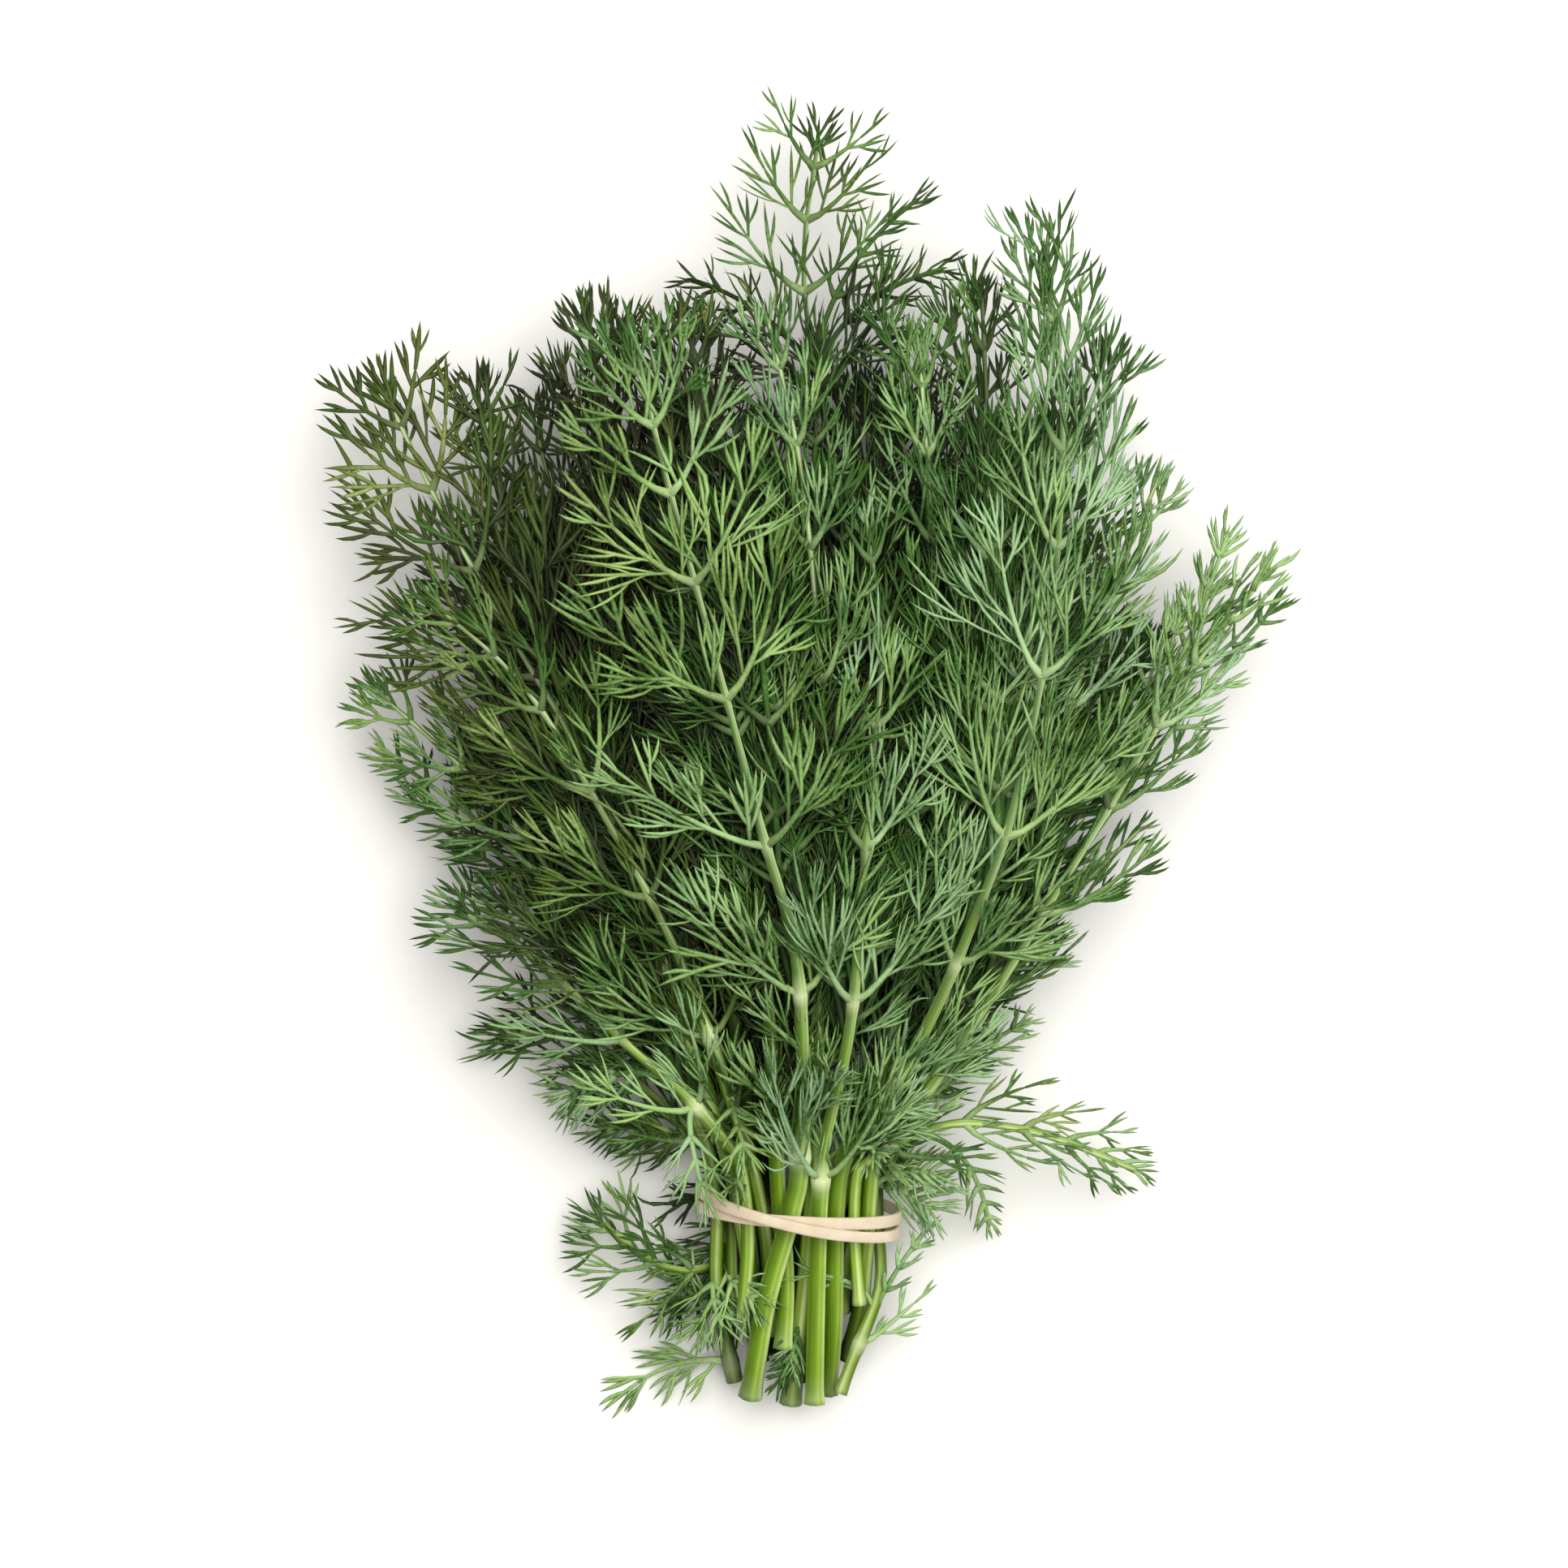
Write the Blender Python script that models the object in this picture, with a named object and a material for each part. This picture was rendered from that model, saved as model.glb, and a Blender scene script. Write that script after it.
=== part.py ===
"""A bunch of fresh dill, lying on a table and held by one rubber band.

Each leafy stem is a single solid: a bare stem, a midrib with opposite side branches, and forked
needle leaves, all grown from one small cylinder by extruding faces. The stems run along +Y, with
their cut ends at -Y and their tips at +Y, and the table is the plane z = 0. All sizes are in
millimetres, and MM turns them into Blender's metres.
"""

import math

import bmesh
import bpy
import numpy as np
from mathutils import Matrix, Vector

MM = 0.001
SEED = 11

# The rubber band, stretched round the stems in two turns that cross once, on top
BAND_CENTRE = (-3.0, -84.3)
BAND_INNER = (18.0, 9.0)
BAND_STRIP = (2.5, 1.1)
BAND_SPREAD = 1.7
BAND_CROSSING = math.radians(104)
BAND_TILT = math.radians(-8)
BAND_POINTS = 46
BAND_GAP = 0.3
BAND_HEIGHT = BAND_STRIP[1] + BAND_GAP + BAND_INNER[1]

# The stems
STEM_SIDES = 5
SPINE_STEP = 2.5
STEM_GAP = 1.0
SETTLE_ROUNDS = 220
RING_SPACING = (11.0, 20.0)
NODE_HALF = 1.6
NODE_SWELL = 1.22
NODE_RATIO = 0.77
LEAF_SHARE = 0.72
RIB_TIP_RADIUS = 0.55

# The side branches and their needle leaves
BRANCH_RADIUS = (0.85, 0.6)
BRANCH_TAPER = 0.7
NEEDLE_RADIUS = 0.6
NEEDLE_ROOT = 2.4
BRANCH_CLOSING = 18.0
BRANCH_BEND = 38.0
TWIG_SPREAD = 36.0
NEEDLE_SPREAD = 27.0
LEAST_GAP = 0.35
BRANCH_TURNS = (0, 14, -14, 28, -28, 44, -44, 62, -62)
TWIG_TURNS = (0, 24, -24, 48, -48, 75, -75)

# One row for each leafy stem: the points that it runs through from cut end to tip, its radius at
# the cut end, the bare length below its first regular pair of side branches, the number of
# pairs, the longest of them, how far the leaf is rolled from facing up, and the angle at which
# the lowest pair leaves the midrib, both in degrees. Higher pairs leave closer to the midrib by
# up to BRANCH_CLOSING, and each side branch bends forward by BRANCH_BEND in all.
LEAFY_STEMS = (
    ("leafy_stem_01", ((-12, -119.5, 9), (-3, -85, 16), (-1, -73, 22), (-3, -38, 35),
                       (-10, -12, 44), (-18, 18, 50), (-28, 55, 48), (-33, 77, 43)),
     1.95, 112, 6, 37, 0, 62),
    ("leafy_stem_02", ((2.5, -119, 6), (8, -85, 14), (19, -59, 25), (29.5, -29, 37),
                       (35.5, -11, 42), (41.5, 18, 46), (45, 57, 44), (42, 94, 35)),
     1.8, 118, 7, 36, 6, 48),
    ("leafy_stem_03", ((0, -120.5, 11), (2, -85, 16.5), (3, -71, 22), (7, -47, 33),
                       (10, -4, 42), (12, 20, 42), (9, 46, 38)), 1.75, 43, 6, 34, -8, 50),
    ("leafy_stem_04", ((6, -113, 4), (13, -84, 11), (27, -56, 22), (41, -30.5, 29),
                       (56, -6, 29), (70, 17, 26), (85, 36, 19)), 1.7, 98, 6, 27, 10, 46),
    ("leafy_stem_05", ((-4.5, -121, 6), (-1, -85, 11), (1, -40, 25), (2, -2, 35), (0, 28, 41),
                       (-3, 55, 42), (-9, 82, 37)), 1.85, 66, 6, 34, -14, 50),
    ("leafy_stem_06", ((4, -106, 7), (6, -85, 9), (17, -40, 20), (23, 5, 30), (22, 35, 34),
                       (19, 78, 32)), 1.6, 66, 6, 32, 16, 48),
    ("leafy_stem_07", ((-10, -113, 6), (-13, -85, 12), (-25, -47, 21), (-39, -7, 27),
                       (-58, 26, 27), (-71, 50, 23), (-81, 71, 18)), 1.7, 70, 6, 42, -10, 60),
    ("leafy_stem_08", ((-15, -117, 4), (-16, -85, 8), (-31, -47, 15), (-46, -25, 19),
                       (-61, -6, 19), (-83, 14, 14)), 1.35, 62, 5, 27, -6, 58),
    ("leafy_stem_09", ((-11, -104, 9), (-15, -85, 13), (-25, -65, 19), (-36, -53, 22),
                       (-52, -37, 21), (-68, -27, 16)), 1.35, 44, 5, 25, 10, 56),
    ("leafy_stem_10", ((-2, -117, 3), (-3, -85, 6), (-2, -25, 13), (2, 20, 20), (3, 52, 24),
                       (-2, 89, 23), (1, 118, 17)), 1.8, 96, 7, 42, 8, 72),
    ("leafy_stem_11", ((-7, -112, 4), (-9, -85, 6), (-16, -40, 16), (-29, 13, 26),
                       (-37, 50, 28), (-42, 84, 24)), 1.6, 68, 6, 31, -30, 52),
    ("leafy_stem_12", ((-6.5, -109.5, 11), (-7, -85, 13), (-9, -40, 27), (-16, 13, 36),
                       (-20, 50, 38), (-23, 82, 33)), 1.6, 74, 6, 31, 22, 50),
    ("leafy_stem_13", ((2.5, -111, 3), (4, -85, 5), (17, -40, 14), (28, 5, 22), (32, 43, 26),
                       (31, 87, 22)), 1.6, 62, 6, 30, 34, 46),
    ("leafy_stem_14", ((6, -108, 7), (11, -85, 7), (29, -34, 21), (45, 5, 29), (55, 32, 28),
                       (64, 53, 23)), 1.5, 64, 5, 28, 12, 46),
    ("leafy_stem_15", ((4, -104, 3), (9, -85, 5), (24, -30, 11), (40, 15, 16), (50, 45, 17),
                       (56, 76, 14)), 1.5, 60, 6, 28, -20, 48),
    ("leafy_stem_16", ((4.5, -118.5, 9), (7, -109, 9), (14, -87, 7), (24, -61, 10),
                       (37, -41, 13), (48, -26, 13), (62, -12, 10)), 1.15, 66, 4, 20, 8, 50),
    ("leafy_stem_17", ((8, -102, 11), (12.5, -86, 15), (18, -75, 20), (27, -68, 23),
                       (35, -67, 23), (46, -70, 18), (61, -77, 11)), 1.2, 34, 6, 22, -10, 50),
    ("leafy_stem_18", ((-14, -103, 6), (-16, -85, 7), (-20, -74, 9), (-33, -61, 10),
                       (-47, -52, 10), (-60, -52, 8)), 1.2, 34, 5, 21, 12, 58),
    ("leafy_stem_19", ((-7, -106, 3), (-9, -85, 4), (-24, -32, 7), (-40, 8, 9), (-56, 42, 7)),
     1.4, 50, 5, 32, -8, 54),
    ("leafy_stem_20", ((-1, -108, 3), (-1, -85, 4), (3, -32, 6), (9, 20, 8), (15, 72, 7)),
     1.5, 48, 5, 36, 6, 50),
    ("leafy_stem_21", ((-13, -66, 4), (-17, -84, 4), (-22, -93, 6), (-29, -96, 9),
                       (-35, -93, 9), (-41, -86, 6)), 1.1, 27, 5, 18, 4, 60),
    ("leafy_stem_22", ((-9, -108, 9), (-11, -85, 10), (-24, -40, 26), (-40, -8, 34),
                       (-54, 14, 34), (-72, 30, 26)), 1.5, 60, 6, 32, -12, 56),
    ("leafy_stem_23", ((-5, -103, 6), (-6, -85, 8), (-17, -40, 12), (-33, 5, 17), (-46, 40, 18),
                       (-53, 66, 15)), 1.3, 96, 5, 28, 16, 54),
)

# Further side branches, low on their stems: the stem that bears each, its place up that stem,
# its side (-1 left, 1 right), its length, and the angles at which it leaves and ends.
LOW_BRANCHES = (
    ("leafy_stem_01", 48.0, -1, 26.0, 34.0, 16.0),
    ("leafy_stem_01", 48.0, 1, 24.0, 34.0, 16.0),
    ("leafy_stem_01", 82.0, -1, 36.0, 54.0, 24.0),
    ("leafy_stem_01", 82.0, 1, 32.0, 46.0, 18.0),
    ("leafy_stem_02", 64.0, 1, 26.0, 42.0, 18.0),
    ("leafy_stem_02", 92.0, -1, 34.0, 44.0, 14.0),
    ("leafy_stem_02", 92.0, 1, 30.0, 42.0, 16.0),
    ("leafy_stem_08", 4.0, -1, 28.0, 62.0, 130.0),
    ("leafy_stem_08", 15.0, -1, 20.0, 70.0, 20.0),
    ("leafy_stem_16", 10.0, 1, 20.0, 30.0, 26.0),
)

LEAF_GREEN = (0.105, 0.235, 0.052)
BAND_CREAM = (0.66, 0.47, 0.28)


def unit(vector):
    return vector / np.linalg.norm(vector)


def turned(vector, axis, degrees):
    """The vector turned about a unit axis."""
    angle = math.radians(degrees)
    return (vector * math.cos(angle) + np.cross(axis, vector) * math.sin(angle)
            + axis * (axis @ vector) * (1 - math.cos(angle)))


def at(path, distance):
    """The point at a distance along a path."""
    steps = np.linalg.norm(np.diff(path, axis=0), axis=1)
    length = np.concatenate([[0], np.cumsum(steps)])
    return np.array([np.interp(distance, length, path[:, k]) for k in range(3)]).T


def length_of(path):
    return np.linalg.norm(np.diff(path, axis=0), axis=1).sum()


def smooth_path(points):
    """A smooth curve through a few points, as points SPINE_STEP apart."""
    points = np.array(points, float)
    before, after = 2 * points[0] - points[1], 2 * points[-1] - points[-2]
    p = np.vstack([before, points, after])
    t = np.linspace(0, 1, 12, endpoint=False)[:, None]
    fine = [0.5 * (2 * b + (c - a) * t + (2 * a - 5 * b + 4 * c - d) * t**2
                   + (3 * b - 3 * c + d - a) * t**3)
            for a, b, c, d in zip(p, p[1:], p[2:], p[3:])]
    fine = np.vstack([*fine, points[-1:]])
    return at(fine, np.linspace(0, length_of(fine), round(length_of(fine) / SPINE_STEP) + 1))


def stem_radius(radius, bare, length, distance):
    """A stem's radius at a distance from its cut end: nearly even while bare, then tapering."""
    first = min(bare, 60.0)
    leafy = np.clip((distance - first) / (length - first), 0, 1)
    low = radius * (1 - 0.12 * np.clip(distance / first, 0, 1))
    drop = 1 - (1 - LEAF_SHARE) * np.clip((distance - first) / 5, 0, 1)
    return RIB_TIP_RADIUS + (low * drop - RIB_TIP_RADIUS) * (1 - leafy) ** 0.8


def settled(spines, radii):
    """Presses the stems apart where they would overlap, inside the band and above the table."""
    owner = np.concatenate([[i] * len(s) for i, s in enumerate(spines)])
    start, radius = np.vstack(spines), np.concatenate(radii)
    gaps = np.linalg.norm(start[:, None] - start[None], axis=2)
    one, two = np.nonzero((owner[:, None] != owner[None]) & (gaps < 14))
    apart = radius[one] + radius[two] + STEM_GAP
    near_band = (np.abs(start[:, :2] - BAND_CENTRE) < (BAND_INNER[0] + 4, 12)).all(axis=1)
    centre = np.array([BAND_CENTRE[0], BAND_HEIGHT])
    room = np.array(BAND_INNER) - radius[:, None]
    points = start.copy()
    ends = np.cumsum([len(s) for s in spines])[:-1]
    for _ in range(SETTLE_ROUNDS):
        way = points[one] - points[two]
        distance = np.linalg.norm(way, axis=1) + 1e-9
        push = 0.35 * np.maximum(apart - distance, 0) / distance
        shift = points - start
        np.add.at(shift, one, way * push[:, None])
        for piece in np.split(shift, ends):
            piece[1:-1] += 0.25 * (piece[:-2] + piece[2:] - 2 * piece[1:-1])
        points = start + shift
        off = (points[:, [0, 2]] - centre) / room
        outside = np.maximum(np.linalg.norm(off, axis=1), 1)[:, None]
        held = centre + off / outside * room
        points[:, [0, 2]] = np.where(near_band[:, None], held, points[:, [0, 2]])
        points[:, 2] = np.maximum(points[:, 2], radius + 0.1)
    return np.split(points, ends)


class Room:
    """The space that is taken, as straight rods. Each has a radius and an owner."""

    def __init__(self):
        self.rods, self.radii, self.owners = np.zeros((0, 2, 3)), np.zeros(0), []

    def take(self, path, radius, owner):
        path = np.array(path)
        rods = np.stack([path[:-1], path[1:]], axis=1)
        self.rods = np.concatenate([self.rods, rods])
        self.radii = np.concatenate([self.radii, np.resize(radius, len(rods))])
        self.owners += [owner] * len(rods)

    def free(self, path, radius, ignore):
        """True if a path keeps LEAST_GAP from every rod whose owner isn't ignored."""
        path = np.array(path)
        reach = radius + self.radii + LEAST_GAP
        low, high = path.min(axis=0), path.max(axis=0)
        near = ((self.rods.max(axis=1) + reach[:, None] > low).all(axis=1)
                & (self.rods.min(axis=1) - reach[:, None] < high).all(axis=1))
        near = [i for i in np.flatnonzero(near) if self.owners[i] not in ignore]
        if not near:
            return True
        gaps = rod_gaps(np.stack([path[:-1], path[1:]], axis=1), self.rods[near])
        return bool((gaps > reach[near]).all())


def rod_gaps(first, second):
    """The distance between each rod of one set and each of another."""
    p, d1 = first[:, None, 0], first[:, None, 1] - first[:, None, 0]
    q, d2 = second[None, :, 0], second[None, :, 1] - second[None, :, 0]
    r = p - q
    a, e, b = (d1 * d1).sum(-1), (d2 * d2).sum(-1), (d1 * d2).sum(-1)
    c, f = (d1 * r).sum(-1), (d2 * r).sum(-1)
    s = np.clip((b * f - c * e) / np.maximum(a * e - b * b, 1e-9), 0, 1)
    t = np.clip((b * s + f) / e, 0, 1)
    s = np.clip((b * t - c) / a, 0, 1)
    return np.linalg.norm(r + d1 * s[..., None] - d2 * t[..., None], axis=-1)


def on_table(path, radius):
    """The path with each point that would be under the table laid on it."""
    path = np.array(path)
    path[..., 2] = np.maximum(path[..., 2], 0.55 * radius)
    return path


def branch_curve(start, along, side, length, leaving, ending):
    """A side branch that leaves the midrib at one angle and bends forward to another."""
    share = (np.arange(16) + 0.5) / 16
    angle = np.radians(leaving + (ending - leaving) * share**0.6)[:, None]
    steps = (np.cos(angle) * along + np.sin(angle) * side) * length / 16
    return on_table(np.vstack([start, start + np.cumsum(steps, axis=0)]), NEEDLE_RADIUS)


def branch_plan(room, leaf, start, along, side, up, radius, length, leaving, ending, key):
    """A side branch, in the first turn about the midrib at which it is clear, or None."""
    rng = np.random.default_rng([SEED, *key])
    lean, ending = rng.normal(0, 9), ending + rng.normal(0, 5)
    owner = (leaf, *key)
    for shrink in (1.0, 0.75):
        for turn in BRANCH_TURNS:
            outward = turned(side, along, lean + turn)
            root = start + outward * radius * 0.8
            curve = branch_curve(root, along, outward, length * shrink, leaving, ending)
            if room.free(curve[2:], BRANCH_RADIUS[0], (leaf, owner)):
                room.take(curve[1::5], BRANCH_RADIUS[0], owner)
                above = turned(up, along, lean + turn)
                return {"curve": curve, "up": above, "owner": owner, "rng": rng,
                        "length": length * shrink, "side": outward}
    return None


def twig_plan(room, branch, share, hand, forks):
    """A twig of a side branch, as its root, its end and the tips of the needles beside it."""
    curve, rng = branch["curve"], branch["rng"]
    place = share * length_of(curve)
    base, ahead = at(curve, place), at(curve, place + 1)
    along = unit(ahead - base)
    across = unit(np.cross(along, branch["up"])) * hand
    roll, spread = rng.normal(0, 16), TWIG_SPREAD + rng.normal(0, 4)
    size = np.clip(branch["length"] * (0.52 - 0.3 * share), 8, 21) * rng.uniform(0.88, 1.12)
    for shrink in (1.0, 0.7):
        for turn in TWIG_TURNS:
            side = turned(across, along, (roll + turn) * hand)
            over = np.cross(side, along)
            out = turned(along, over, -spread)
            root = base + 0.4 * side + NEEDLE_ROOT * out
            forward = turned(out, over, 9)
            end = root + (size * shrink - NEEDLE_ROOT) * forward
            tips = [root + 0.62 * size * shrink * turned(forward, over, -NEEDLE_SPREAD * s)
                    for s in (1, -1)[:forks]]
            if min(root[2], end[2] + 1) < -0.5:
                continue
            path = on_table([base + 0.9 * side, root, end], NEEDLE_RADIUS)
            tips = [on_table(tip, NEEDLE_RADIUS) for tip in tips]
            rods = [path] + [np.array([path[1], tip]) for tip in tips]
            if all(room.free(rod, NEEDLE_RADIUS, (branch["owner"],)) for rod in rods):
                for rod in rods:
                    room.take(rod, NEEDLE_RADIUS, branch["owner"])
                return {"share": share, "side": side, "root": path[1], "end": path[2],
                        "tips": tips, "up": over}
    return None


def band_path():
    """The middle line of the rubber strip, which goes round the stems twice and crosses itself."""
    turn = np.linspace(0, 4 * math.pi, BAND_POINTS, endpoint=False)
    angle = turn - math.pi + BAND_CROSSING
    swing = np.cos(turn / 2)
    aside = -1.12 * BAND_SPREAD * swing / np.sqrt(swing**2 + 0.25)
    from_crossing = np.abs(turn % (2 * math.pi) - math.pi)
    over = np.where(turn < 2 * math.pi, np.clip(1.5 - from_crossing / 0.62, 0, 1), 0)
    lift = (BAND_STRIP[1] + BAND_GAP) * over**2 * (3 - 2 * over)
    half = BAND_GAP + BAND_STRIP[1] / 2 + lift
    x = (BAND_INNER[0] + half) * np.cos(angle)
    z = (BAND_INNER[1] + half + 0.7) * np.sin(angle) + BAND_HEIGHT
    x, y = (x * math.cos(BAND_TILT) - aside * math.sin(BAND_TILT),
            x * math.sin(BAND_TILT) + aside * math.cos(BAND_TILT))
    z = np.maximum(z, BAND_STRIP[1] / 2 - 0.06)
    return np.stack([x + BAND_CENTRE[0], y + BAND_CENTRE[1], z], axis=1)


def make_band(material):
    """The rubber band, as a six-sided strip whose lowest faces lie flat on the table."""
    path = band_path()
    depth, width = BAND_STRIP[1] / 2, BAND_STRIP[0] / 2
    section = ((depth, depth - width), (depth, width - depth), (0, width),
               (-depth, width - depth), (-depth, depth - width), (0, -width))
    lying = np.array([-math.sin(BAND_TILT), math.cos(BAND_TILT), 0])
    bm = bmesh.new()
    rings = []
    for before, point, after in zip(np.roll(path, 1, axis=0), path, np.roll(path, -1, axis=0)):
        along = unit(after - before)
        across = unit(lying - along * (along @ lying))
        out = np.cross(across, along)
        corners = np.array([point + out * deep + across * wide for deep, wide in section])
        corners[:, 2] = np.maximum(corners[:, 2], 0)
        rings.append([bm.verts.new(corner * MM) for corner in corners])
    for ring, following in zip(rings, rings[1:] + rings[:1]):
        for k in range(len(section)):
            j = (k + 1) % len(section)
            bm.faces.new((ring[k], ring[j], following[j], following[k]))
    return finished(bm, "rubber_band", material)


def finished(bm, name, material):
    """An object with the mesh, closed and facing out, and its material."""
    bmesh.ops.triangulate(bm, faces=bm.faces)
    bmesh.ops.recalc_face_normals(bm, faces=bm.faces)
    mesh = bpy.data.meshes.new(name)
    bm.to_mesh(mesh)
    bm.free()
    mesh.materials.append(material)
    return bpy.data.objects.new(name, mesh)


def ring_of(centre, along, up, radius, sides):
    """The corners of a ring round a point, anticlockwise as seen from its front."""
    up = unit(up - along * (up @ along))
    side = np.cross(up, along)
    angles = math.pi / 2 + 2 * math.pi * np.arange(sides) / sides
    return centre + radius * (np.cos(angles)[:, None] * side + np.sin(angles)[:, None] * up)


def place_ring(face, corners):
    """Moves a face's corners to a ring's, by the shift that turns them least."""
    now = np.array([v.co for v in face.verts]) / MM
    now, ring = now - now.mean(axis=0), corners - corners.mean(axis=0)
    shifts = [(now * np.roll(ring, -k, axis=0)).sum() for k in range(len(ring))]
    corners = np.roll(corners, -int(np.argmax(shifts)), axis=0)
    corners[:, 2] = np.maximum(corners[:, 2], 0)
    for vert, corner in zip(face.verts, corners):
        vert.co = Vector(corner * MM)


def grow(bm, face, path, radii, up):
    """Extrudes a face along a path, one ring for each point after the first. Returns the last
    face and the side faces of each stretch."""
    stretches = []
    for i in range(1, len(path)):
        ahead = path[min(i + 1, len(path) - 1)]
        face = bmesh.ops.extrude_discrete_faces(bm, faces=[face])["faces"][0]
        along = unit(ahead - path[i - 1])
        place_ring(face, ring_of(path[i], along, up, radii[i], len(face.verts)))
        sides = [f for edge in face.edges for f in edge.link_faces if f != face]
        stretches.append([sides, set(face.verts)])
    return face, stretches


def bud(bm, stretch, toward):
    """The triangle, at the far end of a stretch, that faces most nearly toward a direction."""
    sides, far = stretch
    for side in sides:
        side.normal_update()
    best = max(sides, key=lambda f: f.normal @ Vector(toward))
    sides.remove(best)
    halves = bmesh.ops.triangulate(bm, faces=[best])["faces"]
    return max(halves, key=lambda f: sum(v in far for v in f.verts))


def point_out(bm, face, tip):
    """Draws a face out into a point."""
    tip = np.array([tip[0], tip[1], max(tip[2], 0.15)])
    bmesh.ops.poke(bm, faces=[face])["verts"][0].co = Vector(tip * MM)


def grow_twig(bm, stretch, twig):
    base = bud(bm, stretch, twig["side"])
    start = np.array(base.calc_center_median()) / MM
    face, stretches = grow(bm, base, np.array([start, twig["root"]]), (0, NEEDLE_RADIUS),
                           twig["up"])
    point_out(bm, face, twig["end"])
    for tip in twig["tips"]:
        aside = tip - twig["root"]
        along = unit(twig["end"] - twig["root"])
        side = bud(bm, stretches[0], unit(aside - along * (aside @ along)))
        point_out(bm, side, tip)


def grow_branch(bm, stretch, branch, twigs):
    """A side branch from a node of the midrib, with its twigs in pairs."""
    curve = branch["curve"]
    base = bud(bm, stretch, branch["side"])
    start = np.array(base.calc_center_median()) / MM
    shares = sorted({twig["share"] for twig in twigs} or {0.5})
    places = [0.07] + shares
    path = np.vstack([start, [at(curve, s * length_of(curve)) for s in places], curve[-1]])
    radii = np.interp([0] + places, [0, 1], BRANCH_RADIUS)
    face, stretches = grow(bm, base, path[:-1], radii, branch["up"])
    for share, part in zip(shares, stretches[1:]):
        for twig in twigs:
            if twig["share"] == share:
                grow_twig(bm, part, twig)
    point_out(bm, face, path[-1])


def leaf_plan(room, number, row, spine):
    """Every side branch of a leafy stem that finds room, with its place up the stem."""
    name, _, radius, bare, pairs, reach, roll, spread = row
    length = length_of(spine)
    plan = []
    places = bare + (length - bare) * (1 - NODE_RATIO ** np.arange(pairs)) / (
        1 - NODE_RATIO**pairs)
    spots = [(p, hand, k) for k, p in enumerate(places) for hand in (-1, 1)]
    spots += [(low[1], low[2], 50 + k) for k, low in enumerate(LOW_BRANCHES) if low[0] == name]
    for place, hand, k in spots:
        along = unit(at(spine, place + 2) - at(spine, place - 2))
        up = turned(unit(np.array([0, 0, 1.0]) - along * along[2]), along, roll)
        side = np.cross(along, up) * hand
        share = max(0.0, (place - bare) / (length - bare))
        girth = stem_radius(radius, bare, length, place)
        if k < 50:
            longest = reach * (1 - BRANCH_TAPER * share**2)
            leaving, ending = spread - BRANCH_CLOSING * share, spread - BRANCH_BEND
        else:
            longest, leaving, ending = LOW_BRANCHES[k - 50][3:]
        branch = branch_plan(room, name, at(spine, place), along, side, up, girth, longest,
                             leaving, ending, (number, k, hand + 1))
        if branch:
            plan.append((place, branch))
    return plan


def twigs_of(room, branch):
    size = branch["length"]
    shares = (0.27, 0.58) if size > 23 else (0.42,)
    found = [twig_plan(room, branch, share, hand, 2 if size > 30 else 1)
             for share in shares for hand in (-1, 1)]
    return [twig for twig in found if twig]


def make_leafy_stem(name, spine, radius, bare, plan, material):
    """One leafy stem as a closed mesh, grown from a short cylinder at its cut end."""
    length = length_of(spine)
    nodes = sorted({place for place, _, _ in plan})
    marks = {0.0}
    for place in nodes:
        marks |= {place - NODE_HALF, place + NODE_HALF}
    marks |= {length - 6.0}
    edges = sorted(marks)
    for low, high in zip(edges, edges[1:]):
        count = int((high - low) // RING_SPACING[1 if low > 50 else 0])
        marks |= {low + (high - low) * (k + 1) / (count + 1) for k in range(count)}
    marks = np.array(sorted(marks))
    path = at(spine, marks)
    radii = stem_radius(radius, bare, length, marks)
    swollen = np.array([min([abs(m - p) for p in nodes] + [99]) < NODE_HALF * 1.1 for m in marks])
    radii = np.where(swollen, radii * NODE_SWELL, radii)
    bm = bmesh.new()
    first = Vector(unit(path[1] - path[0]))
    turn = Vector((0, 0, 1)).rotation_difference(first).to_matrix().to_4x4()
    middle = Vector((path[0] + path[1]) / 2 * MM)
    depth = np.linalg.norm(path[1] - path[0])
    bmesh.ops.create_cone(bm, cap_ends=True, segments=STEM_SIDES, radius1=radii[0] * MM,
                          radius2=radii[1] * MM, depth=depth * MM,
                          matrix=Matrix.Translation(middle) @ turn)
    bm.normal_update()
    caps = [f for f in bm.faces if len(f.verts) == STEM_SIDES]
    top = max(caps, key=lambda f: f.normal @ first)
    face, stretches = grow(bm, top, path[1:], radii[1:], np.array([0, 0, 1.0]))
    stretch_at = dict(zip(np.round(marks[2:], 6), stretches))
    for place, branch, twigs in plan:
        grow_branch(bm, stretch_at[round(place + NODE_HALF, 6)], branch, twigs)
    point_out(bm, face, spine[-1])
    return finished(bm, name, material)


def plain_material(name, colour, roughness):
    material = bpy.data.materials.new(name)
    material.use_nodes = True
    surface = material.node_tree.nodes["Principled BSDF"]
    surface.inputs["Base Color"].default_value = (*colour, 1)
    surface.inputs["Roughness"].default_value = roughness
    return material


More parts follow.
